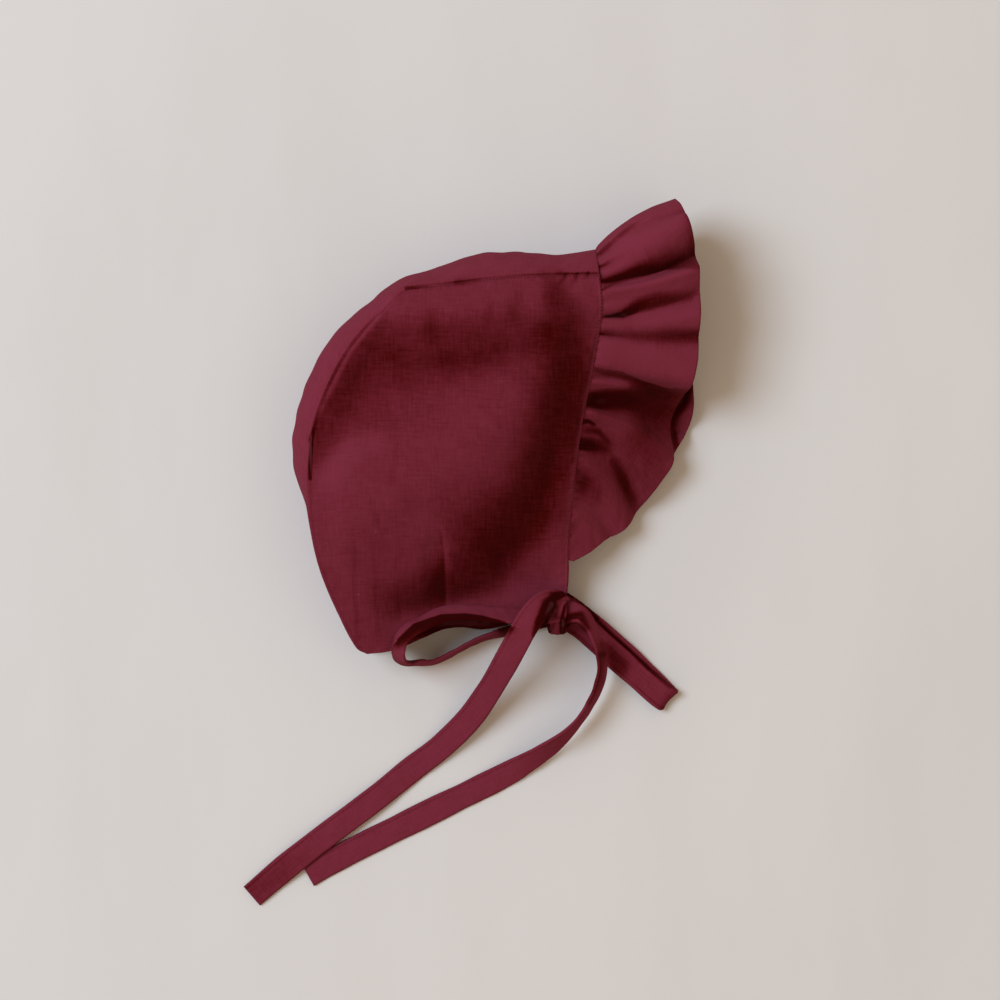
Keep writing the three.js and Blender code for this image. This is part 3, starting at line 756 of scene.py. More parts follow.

# Painted shade of the upper side panel: the shading of its folds and the shadows of the loop and
# the seams, painted into the colour, with painted highlights where the amount is below 0. Each is
# a path of places in the frame's pixels as seen from above: u, v, how much painted shade darkens
# the colour there, and the path's width on its left and on its right
PANEL_SHADES: tuple[Rows, ...] = (
    (
        (558, 292, 0.20, 14, 16),
        (565, 325, 0.40, 24, 32),
        (572, 370, 0.50, 28, 38),
        (568, 410, 0.53, 32, 40),
        (558, 450, 0.50, 34, 40),
        (538, 500, 0.54, 30, 42),
        (505, 545, 0.56, 30, 60),
        (482, 570, 0.52, 26, 54),
        (462, 584, 0.48, 15, 30),
        (430, 594, 0.40, 14, 26),
        (390, 602, 0.26, 18, 22),
        (360, 612, 0.10, 18, 20),
    ),
    (
        (300, 455, 0.25, 20, 30),
        (315, 405, 0.28, 20, 55),
        (338, 362, 0.30, 20, 68),
        (375, 340, 0.30, 24, 70),
        (440, 345, 0.30, 26, 46),
        (500, 340, 0.28, 26, 36),
        (540, 330, 0.15, 18, 22),
    ),
    ((445, 362, 0.10, 12, 12), (470, 362, 0.10, 10, 10), (500, 350, 0.08, 10, 10)),
    ((365, 345, 0.08, 6, 6), (400, 355, 0.08, 8, 8)),
    ((340, 560, 0.13, 150, 150), (480, 340, 0.14, 150, 150)),
    ((548, 276, 0.10, 10, 8), (552, 300, 0.15, 12, 10)),
    ((520, 290, 0.08, 7, 7), (514, 312, 0.15, 12, 12)),
    ((430, 315, 0.10, 7, 7), (433, 330, 0.15, 10, 10)),
    ((492, 300, 0.02, 4, 4), (487, 318, 0.10, 6, 6)),
    ((555, 535, 0.10, 30, 30), (575, 585, 0.02, 30, 30)),
    ((311, 425, 0.9, 1.5, 1.5), (311, 478, 0.9, 1.5, 1.5)),
    ((330, 475, -0.22, 14, 16), (348, 450, -0.22, 14, 16), (375, 440, -0.10, 12, 12)),
    ((444, 546, 0.20, 1.0, 12), (445, 570, 0.34, 1.0, 16), (446, 601, 0.25, 1.0, 16)),
    ((352, 530, 0.05, 3, 3), (357, 640, 0.10, 3, 3)),
    ((372, 540, 0.05, 3, 3), (378, 640, 0.08, 3, 3)),
    ((395, 560, 0.05, 3, 3), (398, 620, 0.08, 3, 3)),
    (
        (405, 634, 0.6, 6, 8),
        (425, 626, 0.9, 7, 12),
        (446, 621, 1.1, 8, 12),
        (486, 621, 1.1, 8, 12),
        (514, 618, 0.9, 6, 10),
    ),
    ((395, 425, 0.06, 14, 14), (435, 425, 0.06, 16, 16)),
    ((320, 420, 0.10, 18, 40), (345, 385, 0.10, 24, 44), (390, 368, 0.06, 24, 44)),
    ((562, 588, -0.14, 16, 14), (576, 556, -0.08, 12, 12)),
    ((348, 610, -0.06, 18, 18), (400, 622, -0.08, 14, 10)),
    ((398, 440, 0.06, 4, 4), (392, 480, 0.08, 5, 5)),
    ((372, 505, 0.06, 5, 5), (384, 545, 0.06, 5, 5)),
    (
        (600, 285, -0.15, 1.3, 2),
        (601, 312, -0.25, 1.3, 2),
        (598, 335, -0.32, 1.3, 2),
        (591.5, 365, -0.36, 1.3, 2),
        (584, 400, -0.36, 1.3, 2),
        (578, 435, -0.36, 1.3, 2),
        (573, 470, -0.32, 1.3, 2),
        (569, 505, -0.25, 1.3, 2),
        (565.5, 540, -0.15, 1.3, 2),
        (563, 585, -0.05, 1.3, 2),
    ),
)


# Painted shade of the drawn-in seam line over the crown and of its puckers, and painted highlights
# beside the back seam, on the panel and on the strip
SEAM_SHADES: tuple[Rows, ...] = (
    (
        (406, 289, 0.5, 1.2, 1.4),
        (432, 286, 0.2, 1.0, 1.2),
        (457, 283, 0.45, 1.0, 1.2),
        (490, 279, 0.2, 1.0, 1.2),
        (523, 276, 0.3, 1.0, 1.2),
        (557, 275, 0.5, 1.2, 1.6),
        (597, 274, 0.4, 1.0, 1.4),
    ),
    ((457, 283, 0.25, 4, 4), (478, 281, 0.12, 3, 3)),
    ((540, 273, 0.12, 3, 3), (552, 270, 0.12, 4, 4), (560, 273, 0.2, 3, 3)),
    ((566, 275, 0.4, 1.5, 1.5), (560, 284, 0.1, 3, 3)),
    ((577, 275, 0.4, 1.5, 1.5), (573, 282, 0.1, 3, 3)),
    ((588, 274, 0.4, 1.5, 1.5), (585, 280, 0.1, 3, 3)),
    (
        (392, 300, -0.25, 2.5, 2.5),
        (350, 352, -0.30, 2.5, 2.5),
        (322, 408, -0.20, 2.5, 2.5),
        (311, 440, 0.5, 1.5, 1.5),
    ),
)


class Side(Enum):
    """The two side panels, by the name of the solid that each stands for."""

    UPPER = "side_panel_upper"
    LOWER = "side_panel_lower"


def line_distance(rows: Sequence[float], x: np.ndarray, y: np.ndarray) -> tuple[np.ndarray, np.ndarray]:
    """Distance of places from a line, and the side that they lie on.

    Args:
        rows: the line's start x, y and end x, y.
        x: places' x.
        y: places' y.

    Returns:
        The distance from the nearest point of the line, and the cross product of the line with
        the way to the place, which is above 0 on the line's left.
    """
    from_x, from_y, to_x, to_y = rows[:4]
    run_x, run_y = to_x - from_x, to_y - from_y
    off_x, off_y = x - from_x, y - from_y
    share = clamp01((off_x * run_x + off_y * run_y) / (run_x**2 + run_y**2))
    distance = np.hypot(off_x - share * run_x, off_y - share * run_y)
    return distance, run_x * off_y - run_y * off_x


def fold_height(folds: Rows, x: np.ndarray, y: np.ndarray) -> np.ndarray:
    """Height of all folds: a bell across each line, with its own width on either side."""
    total = np.zeros_like(x)
    for row in folds:
        distance, side = line_distance(row, x, y)
        total += row[4] * bell(distance, np.where(side > 0.0, row[5], row[6]))
    return total


def seen_from_above(points: np.ndarray) -> tuple[np.ndarray, np.ndarray]:
    """Pixels of the frame at which the camera straight above sees points, given in mm.

    Args:
        points: the points, with x, y, z along the last axis.

    Returns:
        u and v: the offset from the middle of the view, over the size of a pixel at that height.
    """
    scale = PIXEL * (1.0 - points[..., 2] / CAMERA[2])
    return MIDDLE + (points[..., 0] - CAMERA[0]) / scale, MIDDLE - (points[..., 1] - CAMERA[1]) / scale


# How squarely a shade falls off beside its path: 2 is a bell
SHADE_FALL = 2.6


def shade_along(path: Rows, u: np.ndarray, v: np.ndarray) -> np.ndarray:
    """One soft shade along a path.

    Args:
        path: rows of u, v, amount, width on the left and width on the right.
        u: pixels across.
        v: pixels down.

    Returns:
        For the nearest place of the path, its amount times e to the power of minus x raised to
        SHADE_FALL, where x is the distance from it over the width of the side that the point
        lies on.
    """
    rows = np.array(path, dtype=float)
    nearest, shade = np.full(u.shape, np.inf), np.zeros_like(u)
    for first, last in zip(rows[:-1], rows[1:]):
        run_u, run_v = last[0] - first[0], last[1] - first[1]
        off_u, off_v = u - first[0], v - first[1]
        share = clamp01((off_u * run_u + off_v * run_v) / (run_u**2 + run_v**2))
        distance = np.hypot(off_u - share * run_u, off_v - share * run_v)
        amount, left, right = (first[k] + (last[k] - first[k]) * share for k in (2, 3, 4))
        on_right = smooth_step(0.5 + (run_u * off_v - run_v * off_u) / np.hypot(run_u, run_v))
        value = amount * np.exp(-((distance / (left + (right - left) * on_right)) ** SHADE_FALL))
        shade = np.where(distance < nearest, value, shade)
        nearest = np.minimum(nearest, distance)
    return shade


def shades(paths: Sequence[Rows], points: np.ndarray) -> np.ndarray:
    """How much painted shade darkens points, with painted highlights below 0: the shades of all paths, added
    up.
    """
    u, v = seen_from_above(points)
    return sum((shade_along(path, u, v) for path in paths), np.zeros_like(u))


@dataclass
class SidePanel:
    """A side panel: a patch of linen stretched between its front, neck, back and top edges.

    Sizes are in mm, but cut and cut_area in metres; cut and cut_area are not used. The dome's powers
    push its top forwards and upwards and make it full. fold_edge and flat_edge are the shares of the
    panel, at its edges, where the folds fade and where the lower panel comes down. welt and dip are
    the height, the distance from the edge and the spread of the rounded ridge at the seams and of the
    line beside it.
    """

    side: Side
    steps: tuple[int, int]
    cloth: float = 1.6
    dome_lift: float = 15.0
    dome_forward: float = 0.78
    dome_high: float = 1.2
    dome_full: float = 0.85
    fold_edge: float = 0.13
    lower_seam: float = 3.2
    flat_edge: float = 0.14
    welt: tuple[float, float, float] = (0.22, 0.8, 0.6)
    dip: tuple[float, float, float] = (-0.10, 1.9, 0.6)
    puckers: Ripples = Ripples(0.16, 4.0, 5)
    pucker_place: float = 3.2
    pucker_spread: float = 2.4
    wrinkles: Ripples = Ripples(0.10, 13.0, 8)
    wrinkle_edge: float = 6.0
    cut: tuple[float, float] = (0.130, 0.168)
    cut_area: float = 0.0176

    def edge(self, rows: Rows) -> SmoothCurve:
        """A smooth edge; the lower panel's edges all lie at the lower seam's height."""
        data = np.array(rows, dtype=float)[:, :3]
        if self.side is Side.LOWER:
            data[:, 2] = self.lower_seam
        return SmoothCurve(data)

    def _top(self, across: np.ndarray) -> np.ndarray:
        """The seam from the front top, 0, to the crown, 1."""
        curve = self.edge(SEAM)
        return curve(across * curve.place[CROWN_ROW])

    def _back(self, up: np.ndarray) -> np.ndarray:
        """The seam from the nape, 0, up to the crown, 1."""
        curve = self.edge(SEAM)
        return curve(1.0 - up * (1.0 - curve.place[CROWN_ROW]))

    def patch(self, across: np.ndarray, up: np.ndarray) -> np.ndarray:
        """The bare patch between the four edges.

        Args:
            across: places from the front, 0, to the back, 1.
            up: places from the neck, 0, to the top, 1.

        Returns:
            The front and back edges mixed by across, plus the neck and top edges mixed by up,
            less the four corners mixed by both.
        """
        front, neck, top, back = self.edge(FRONT_EDGE), self.edge(NECK_EDGE), self._top, self._back
        a, b = across[..., None], up[..., None]
        corner = [curve(np.array(t)) for curve in (front, back) for t in (0.0, 1.0)]
        sides = front(up) * (1 - a) + back(up) * a + neck(across) * (1 - b) + top(across) * b
        low = corner[0] * (1 - a) * (1 - b) + corner[2] * a * (1 - b)
        high = corner[1] * (1 - a) * b + corner[3] * a * b
        return sides - low - high

    def surface(self) -> Cloth:
        """The panel's cloth.

        Returns:
            The upper panel is the patch raised by a dome, which is a product of sines of warped
            across and up, and by its folds, with a rounded ridge and a row of puckers at each
            seam. The lower panel is the patch, pressed flat away from its edges.
        """
        across, up = np.meshgrid(graded(self.steps[0]), graded(self.steps[1]), indexing="ij")
        points = self.patch(across, up)
        nearest = np.minimum(np.minimum(across, 1 - across), np.minimum(up, 1 - up))
        x, y = points[..., 0].copy(), points[..., 1].copy()
        painted_shading = np.zeros_like(x)
        if self.side is Side.UPPER:
            dome = np.sin(np.pi * across**self.dome_forward) * np.sin(np.pi * up**self.dome_high)
            folds = fold_height(PANEL_FOLDS, x, y) * smooth_step(nearest / self.fold_edge)
            points[..., 2] += self.dome_lift * np.maximum(dome, 0.0) ** self.dome_full + folds
            rim = edge_distance(points)
            ridges = sum(lift * bell(rim - place, spread) for lift, place, spread in (self.welt, self.dip))
            puckers = self.puckers.at(x, y) * bell(rim - self.pucker_place, self.pucker_spread)
            wrinkles = self.wrinkles.at(x, y) * smooth_step(rim / self.wrinkle_edge)
            points[..., 2] += ridges + puckers + wrinkles
            # painted shade and highlights of the panel's folds, seams and the loop's shadow
            painted_shading = shades(PANEL_SHADES + SEAM_SHADES, points)
        else:
            inside = smooth_step(nearest / self.flat_edge)
            points[..., 2] += (self.cloth / 2 - points[..., 2]) * inside
        return Cloth(points, self.cloth, np.stack([x, y], axis=-1), painted_shading)

    def build(self, dresser: Dresser) -> bpy.types.Object:
        cloth = self.surface()
        piece = cloth.piece(self.side.value.replace("side_panel", "linen_side"))
        dresser.dress(piece, Linen.PANEL, self.side.value)
        if self.side is Side.LOWER:
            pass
        else:
            stitches = [
                Stitching("stitches_front").build(dresser, *cloth.line(1.2)),
                Stitching("stitches_top", radius=0.16).build(dresser, *cloth.line(0.9, last=True)),
            ]
        LOG.info("%s: %.4f m2 of cloth", piece.name, cloth.area())
        return piece


@dataclass
class CentrePanel:
    """The strip over the crown and down the back, between the two side panels.

    Sizes are in mm, but cut and cut_area in metres; cut and cut_area are not used. seam_drop is how
    far under the panel's seam line the strip begins, with tuck_drop more for each mm that it bends
    inwards. tuck_in is how far its two edges go in under the panels, over tuck_share of its width.
    """

    steps: tuple[int, int] = (300, 56)
    cloth: float = 1.6
    lower_seam: float = 3.2
    seam_drop: float = 0.08
    tuck_drop: float = 0.02
    bow_full: float = 0.85
    tuck_in: float = 0.6
    tuck_share: float = 0.03
    wrinkles: Ripples = Ripples(0.14, 14.0, 3)
    seam_share: float = 0.12
    end_share: float = 0.03
    # painted shade where the strip bends in at its seams and ends
    seam_edge_shade: float = 0.05
    shade_end: float = 0.4
    shade_fade: float = 0.2
    cut: tuple[float, float] = (0.058, 0.266)
    cut_area: float = 0.0127

    def place(self, along: np.ndarray, across: np.ndarray) -> np.ndarray:
        """The strip's middle surface.

        Args:
            along: places from the front top, 0, to the nape, 1.
            across: places from the upper seam, 0, to the lower seam, 1.

        Returns:
            A point on the upright line between the two seams, moved outwards in plan by the
            bulge times a sine of across, and drawn in a little at the seams themselves, where
            its edges are sewn between the side panels.
        """
        curve = SmoothCurve(SEAM)
        row = curve(along)
        run = curve.direction(along)
        outward = np.stack([run[..., 1], -run[..., 0], np.zeros_like(along)], axis=-1)
        outward = unit(outward)
        bulge = row[..., 3]
        drop = self.seam_drop + self.tuck_drop * np.maximum(0.0, -bulge)
        high, low = row[..., 2] - drop, self.lower_seam + drop
        bow = bulge * np.maximum(np.sin(np.pi * across), 0.0) ** self.bow_full
        bow = bow - self.tuck_in * (bell(across, self.tuck_share) + bell(1 - across, self.tuck_share))
        point = row[..., :3] + outward * bow[..., None]
        point[..., 2] = high + (low - high) * across
        return point

    def build(self, dresser: Dresser) -> bpy.types.Object:
        along, across = np.meshgrid(graded(self.steps[0]), graded(self.steps[1], 0.035), indexing="ij")
        points = self.place(along, across)
        u, v = lengths_along(points, 0), lengths_along(points, 1)
        inside = smooth_step(np.minimum(across, 1 - across) / self.seam_share)
        inside = inside * smooth_step(np.minimum(along, 1 - along) / self.end_share)
        points += grid_normals(points) * (self.wrinkles.at(u, v) * inside)[..., None]
        # painted shade at the strip's seams and ends, and the seam's painted shade, kept to the strip's
        # upper half
        upper = smooth_step((self.shade_end - across) / self.shade_fade)
        painted_shading = self.seam_edge_shade * (1 - inside) + shades(SEAM_SHADES, points) * upper
        cloth = Cloth(points, self.cloth, np.stack([u, v], axis=-1), painted_shading)
        LOG.info("linen_centre: %.4f m2 of cloth", cloth.area())
        piece = dresser.dress(cloth.piece("linen_centre"), Linen.CENTRE, "centre_panel")
        return piece


# Ruffle


# Hem of the ruffle: share of the seam from the upper end, over the top, to the lower end; x, y, z in mm
HEM: Rows = (
    (0.0, 50.3, -49.8, 20.5),
    (0.03, 58.0, -45.6, 17.0),
    (0.068, 64.3, -40.7, 14.0),
    (0.107, 70.8, -37.2, 11.0),
    (0.153, 77.6, -31.2, 9.0),
    (0.186, 84.4, -21.4, 9.0),
    (0.222, 95.0, -4.2, 10.5),
    (0.25, 95.0, 11.0, 17.0),
    (0.28, 101.0, 26.0, 29.0),
    (0.315, 104.0, 38.0, 37.0),
    (0.342, 104.8, 49.3, 41.0),
    (0.37, 105.0, 66.0, 44.0),
    (0.4, 103.4, 83.0, 46.0),
    (0.43, 100.7, 96.0, 46.0),
    (0.465, 97.6, 104.5, 41.0),
    (0.5, 96.2, 108.0, 29.0),
    (0.54, 97.5, 106.0, 16.0),
    (0.585, 100.0, 96.0, 5.0),
    (0.63, 103.0, 78.0, 2.0),
    (0.68, 104.0, 58.0, 2.0),
    (0.73, 104.5, 36.0, 2.0),
    (0.78, 103.8, 14.0, 2.0),
    (0.83, 97.0, 0.0, 2.0),
    (0.87, 88.5, -14.5, 2.0),
    (0.91, 79.0, -26.0, 2.0),
    (0.95, 66.5, -38.0, 2.0),
    (1.0, 50.3, -49.8, 2.5),
)

# Folds of the ruffle: share of the hem, shift of the fold's place at the seam, lift at the hem and
# lift near the seam in mm, where above 0 is a ridge and below 0 a hollow
RUFFLE_FOLDS: Rows = (
    (0.000, 0.000, 0.0, 0.0),
    (0.030, 0.000, 0.4, 0.5),
    (0.050, 0.000, 0.2, -0.7),
    (0.068, 0.000, 0.6, 0.6),
    (0.085, 0.000, -0.8, -0.5),
    (0.105, 0.000, 1.0, -1.3),
    (0.122, 0.000, 2.0, -1.5),
    (0.138, 0.000, 1.2, 0.2),
    (0.150, 0.002, -1.2, 0.7),
    (0.160, 0.003, -3.2, -0.5),
    (0.172, 0.003, -2.6, -1.5),
    (0.184, 0.004, 0.5, -0.6),
    (0.196, 0.005, 2.2, 0.5),
    (0.205, 0.006, 3.0, -0.7),
    (0.214, 0.007, 3.6, 1.2),
    (0.221, 0.006, 2.6, 1.6),
    (0.229, 0.003, -1.5, -1.2),
    (0.243, -0.004, -5.0, -2.4),
    (0.258, -0.012, -6.8, -2.4),
    (0.270, -0.012, -6.6, -1.6),
    (0.2765, 0.000, -4.6, -0.4),
    (0.2815, 0.012, 2.2, 0.5),
    (0.288, 0.014, 4.4, 1.4),
    (0.300, 0.010, 4.0, 1.5),
    (0.318, 0.004, 2.0, 1.0),
    (0.331, 0.000, -1.0, 0.4),
    (0.341, -0.002, -3.0, -1.0),
    (0.350, -0.003, 0.2, 0.6),
    (0.358, -0.006, 2.0, 0.9),
    (0.366, -0.009, 0.0, 0.2),
    (0.3735, -0.010, -2.6, -2.6),
    (0.379, -0.006, -0.8, -0.8),
    (0.385, 0.003, 2.0, 0.8),
    (0.3915, 0.008, 3.8, 1.2),
    (0.3965, 0.009, -2.8, -0.6),
    (0.4035, 0.008, -7.6, -2.2),
    (0.413, 0.006, -4.0, -0.8),
    (0.422, 0.004, 0.5, 0.6),
    (0.430, 0.003, 2.6, -0.6),
    (0.440, 0.002, 2.6, 0.9),
    (0.449, 0.000, 0.6, 0.2),
    (0.457, 0.000, -2.0, -1.0),
    (0.466, 0.000, -0.4, 0.5),
    (0.480, 0.000, 1.2, -0.4),
    (0.500, 0.000, 1.6, 0.4),
    (0.520, 0.000, 0.0, -0.4),
    (0.545, 0.000, -4.0, 0.4),
    (0.570, 0.000, -1.0, -0.5),
    (0.590, 0.000, -2.5, 0.5),
    (0.610, 0.000, -7.0, -0.4),
    (0.638, 0.000, -1.5, 0.5),
    (0.665, 0.000, -9.0, -0.5),
    (0.690, 0.000, -1.5, 0.5),
    (0.715, 0.000, -6.5, -0.5),
    (0.740, 0.000, -1.0, 0.4),
    (0.765, 0.000, -8.0, -0.5),
    (0.793, 0.000, -1.0, 0.4),
    (0.820, 0.000, -5.5, -0.5),
    (0.845, 0.000, -1.0, 0.4),
    (0.870, 0.000, -4.5, -0.5),
    (0.893, 0.000, -0.8, 0.4),
    (0.915, 0.000, -3.0, -0.5),
    (0.940, 0.000, -0.5, 0.3),
    (0.970, 0.000, 0.0, -0.3),
    (1.000, 0.000, 0.0, 0.0),
)


# Painted shade of the ruffle's upper half, in the panel's form: painted shadow in the pockets under
# the crisp edges of its folds, painted highlights on the lit crowns, and painted shade in the short
# gathers at the seam
RUFFLE_SHADES: tuple[Rows, ...] = (
    (
        (598, 256, 0.5, 1.5, 2),
        (608, 247, 0.42, 2, 2.5),
        (618, 238, 0.38, 2, 3),
        (631, 228, 0.32, 2, 3),
        (642, 221, 0.0, 2, 3),
    ),
    ((598, 268, 0.6, 1.5, 2), (606, 264, 0.4, 1.5, 2), (614, 259, 0.1, 2, 3)),
    (
        (600, 283, 0.8, 3, 1),
        (615, 279, 0.8, 5, 1.5),
        (640, 274, 0.85, 11, 1.5),
        (660, 270, 0.50, 17, 2),
        (682, 268, 0.40, 19, 2.5),
        (700, 267, 0.38, 20, 3),
    ),
    ((601, 291, 0.6, 1.5, 1.5), (609, 288, 0.3, 1.5, 1.5), (615, 285, 0.0, 1.5, 1.5)),
    ((625, 288, -0.2, 8, 8), (660, 283, -0.2, 8, 8), (690, 283, -0.15, 8, 8)),
    (
        (602, 318, 0.3, 2, 2),
        (612, 317, 0.8, 3, 2),
        (622, 315, 1.05, 5, 4),
        (640, 306, 0.72, 9, 5),
        (660, 300, 0.56, 11, 6),
        (690, 297, 0.34, 10, 5),
    ),
    ((640, 322, -0.3, 7, 7), (670, 318, -0.3, 7, 7), (695, 320, -0.2, 7, 7)),
    (
        (598, 333, 0.7, 1.5, 2),
        (607, 333, 0.38, 5, 5),
        (618, 334, 0.20, 5, 6),
        (640, 336, 0.30, 9, 8),
        (690, 336, 0.48, 10, 9),
        (700, 336, 0.48, 10, 9),
    ),
    ((605, 345, -0.15, 8, 8), (640, 353, -0.15, 8, 8), (686, 371, -0.15, 8, 8)),
    (
        (592, 366, 0.2, 1, 5),
        (621, 371, 0.4, 1, 8),
        (645, 381, 0.5, 1, 10),
        (668, 388, 0.4, 1, 12),
        (690, 388, 0.2, 1, 8),
    ),
    (
        (583, 401, 0.65, 10, 7),
        (600, 402, 0.7, 10, 9),
        (625, 398, 0.65, 11, 14),
        (645, 398, 0.42, 12, 20),
        (668, 402, 0.24, 14, 18),
        (690, 408, 0.24, 14, 16),
    ),
    ((590, 385, -0.5, 3, 3), (612, 383, -0.5, 3, 3), (626, 384, -0.2, 3, 3)),
    ((580, 421, 0.8, 2, 3), (588, 420, 0.8, 2, 3), (593, 424, 0.5, 2.5, 3)),
    ((584, 429, 0.3, 3, 3), (598, 431, 0.5, 3, 3), (607, 440, 0.2, 3, 3)),
    ((577, 444, 0.6, 8, 5), (592, 445, 0.5, 9, 7), (606, 447, 0.35, 8, 7), (616, 450, 0.0, 7, 7)),
    ((577, 448, 0.4, 2, 2), (590, 448, 0.3, 2, 2)),
    ((614, 462, 0.3, 6, 6), (622, 480, 0.40, 7, 7), (629, 496, 0.35, 7, 7), (635, 508, 0.15, 6, 6)),
    ((652, 428, 0.12, 26, 26), (640, 470, 0.10, 24, 24)),
    ((648, 424, 0.16, 16, 20), (670, 418, 0.16, 16, 20)),
    ((640, 440, 0.12, 16, 16), (652, 455, 0.10, 14, 14)),
    ((690, 210, 0.30, 6, 6), (693, 250, 0.30, 6, 6)),
    ((574, 472, 0.30, 10, 10), (586, 484, 0.30, 14, 14), (594, 494, 0.25, 11, 11)),
    ((600, 432, 0.16, 30, 40), (630, 470, 0.14, 40, 50), (655, 490, 0.14, 40, 50)),
    ((618, 246, -0.15, 7, 7), (650, 235, -0.15, 9, 9), (678, 222, -0.05, 9, 9)),
)


# Painted shade of the ruffle's lower half, in the pocket under the upper half's hem
UNDER_SHADES: tuple[Rows, ...] = (
    (
        (695, 352, 0.6, 4, 4),
        (690, 380, 0.9, 6, 6),
        (680, 402, 1.0, 8, 8),
        (674, 416, 0.6, 5, 5),
        (673, 428, 0.5, 3, 3),
        (677, 446, 0.5, 3, 3),
    ),
)


@dataclass
class BrimRuffle:
    """The gathered ruffle round the face: from the upper chin corner, over the top, to the lower.

    Sizes are in mm, but cut and cut_area in metres; cut and cut_area are not used. start and finish
    are the shares of the front edge where the seam begins and ends. gather_row is the share of the
    width where the gathers stand highest, and gather_fade how far they reach. belly is the share of
    the seam, the height and the spread of the swell over the front top. A pleat is one of the fine
    ones at the seam.
    """

    steps: tuple[int, int] = (900, 56)
    cloth: float = 1.3
    start: float = 0.11
    finish: float = 0.97
    strip_drop: float = 1.5
    strip_share: tuple[float, float] = (0.12, 0.88)
    gap: float = -0.2
    gather_row: float = 0.14
    gather_fade: float = 0.16
    belly: tuple[float, float, float] = (0.475, 8.2, 0.05)
    fold_growth: float = 1.05
    upright: float = 3.0
    ends: float = 0.04
    arch: float = 0.45
    lowest: float = 0.75
    wrinkles: Ripples = Ripples(0.12, 11.0, 12)
    pleats: int = 83
    pleat_lift: float = 0.22
    pleat_place: float = 0.05
    pleat_spread: float = 0.06
    pleat_start: float = 0.02
    hollow_depth: float = 8.0
    hollow_start: float = 0.3
    gather_depth: float = 2.8
    gather_spread: float = 0.13
    # share of the painted shade that the folds' hollows and gathers get
    hollow_shade_share: float = 0.6
    under_from: float = 0.5
    under_fade: float = 0.03
    cut: tuple[float, float] = (0.044, 0.400)
    cut_area: float = 0.0155

    def seam(self) -> SmoothCurve:
        """The ruffle's seam: up the upper front edge, down the centre panel, along the lower edge."""
        upper = SidePanel(Side.UPPER, (2, 2)).edge(FRONT_EDGE)
        lower = SidePanel(Side.LOWER, (2, 2)).edge(FRONT_EDGE)
        places = np.linspace(self.start, self.finish, 13)
        strip = CentrePanel(seam_drop=self.strip_drop)
        middle = strip.place(np.zeros(7), np.linspace(*self.strip_share, 7))
        return SmoothCurve(np.concatenate([upper(places), middle, lower(places[::-1])]))

    def folds(self, along: np.ndarray, outwards: np.ndarray) -> tuple[np.ndarray, np.ndarray]:
        """Lift of the ruffle's folds, and the shade painted into their hollows.

        Args:
            along: places along the seam, from 0 to 1.
            outwards: places from the seam, 0, to the hem, 1.

        Returns:
            The lift is the table's hem lift, growing with outwards, plus its seam lift in a bell
            near the seam and a row of fine pleats at the seam itself; the place is moved by the
            table's shift towards the seam. The painted shade is 1 in the deepest hollows.
        """
        table = SmoothCurve(RUFFLE_FOLDS, own_places=True)
        shift = table(along)[..., 0] * (1.0 - outwards)
        row = table(clamp01(along - shift))
        rising = smooth_step(2.0 * outwards / self.gather_row)
        near = bell(outwards - self.gather_row, self.gather_fade) * rising
        uneven = 3.0 * np.sin(37.0 * along) + 1.9 * np.sin(71.0 * along)
        fine = self.pleat_lift * np.sin(TURN * self.pleats * along + uneven)
        pleats = fine * bell(outwards - self.pleat_place, self.pleat_spread)
        pleats = pleats * smooth_step(outwards / self.pleat_start)
        lift = row[..., 1] * outwards**self.fold_growth + row[..., 2] * near + pleats
        wide = clamp01(-row[..., 1] / self.hollow_depth) * smooth_step(outwards / self.hollow_start)
        wide = wide * (1.0 - 0.45 * outwards)
        narrow = clamp01(-row[..., 2] / self.gather_depth)
        narrow = narrow * bell(outwards - self.gather_row, self.gather_spread)
        return lift, clamp01(self.hollow_shade_share * (wide + narrow - pleats))

    def surface(self) -> Cloth:
        """The ruffle's cloth.

        Returns:
            Each line across is a quadratic arc that leaves the seam squarely and ends at the hem,
            moved by the folds along its lift direction, which is drawn towards the upright so
            that the hem keeps its outline from above.
        """
        along, outwards = np.meshgrid(graded(self.steps[0]), graded(self.steps[1], 0.05), indexing="ij")
        curve = self.seam()
        seam, tangent = curve(along), curve.direction(along)
        hem = SmoothCurve(HEM, own_places=True)(along)
        reach = hem - seam
        length = np.linalg.norm(reach, axis=-1, keepdims=True)
        out = unit(reach - tangent * np.sum(reach * tangent, axis=-1, keepdims=True))
        lift = unit(np.cross(out, tangent))
        at, swell, spread = self.belly
        belly = (swell * bell(along - at, spread))[..., None]
        control = seam + out * self.arch * length + lift * belly
        share = outwards[..., None]
        inner = (seam + out * self.gap) * (1 - share) ** 2
        points = inner + control * 2 * share * (1 - share) + hem * share**2
        ends = smooth_step(np.minimum(along, 1 - along) / self.ends)
        rise = unit(lift * np.array([1.0, 1.0, self.upright]))
        folds, painted_shading = self.folds(along, outwards)
        points = points + rise * (ends * folds)[..., None]
        u, v = lengths_along(points, 0)[:, -1:] + 0 * along, lengths_along(points, 1)
        points = points + grid_normals(points) * self.wrinkles.at(u, v)[..., None] * share
        points[..., 2] = np.maximum(points[..., 2], self.lowest)
        # painted shade in the folds' hollows, and the painted shade and highlights of the upper half and of
        # the pocket under its hem
        shade = shades(RUFFLE_SHADES, points) * smooth_step((self.under_from - along) / self.under_fade)
        under = shades(UNDER_SHADES, points) * smooth_step((along - self.under_from) / self.under_fade)
        return Cloth(points, self.cloth, np.stack([u, v], axis=-1), 0.5 * painted_shading * ends + shade + under)

    def build(self, dresser: Dresser) -> bpy.types.Object:
        cloth = self.surface()
        LOG.info("linen_ruffle: %.4f m2 of cloth", cloth.area())
        piece = dresser.dress(cloth.piece("linen_ruffle"), Linen.RUFFLE, "brim_ruffle")
        return piece


# Ties


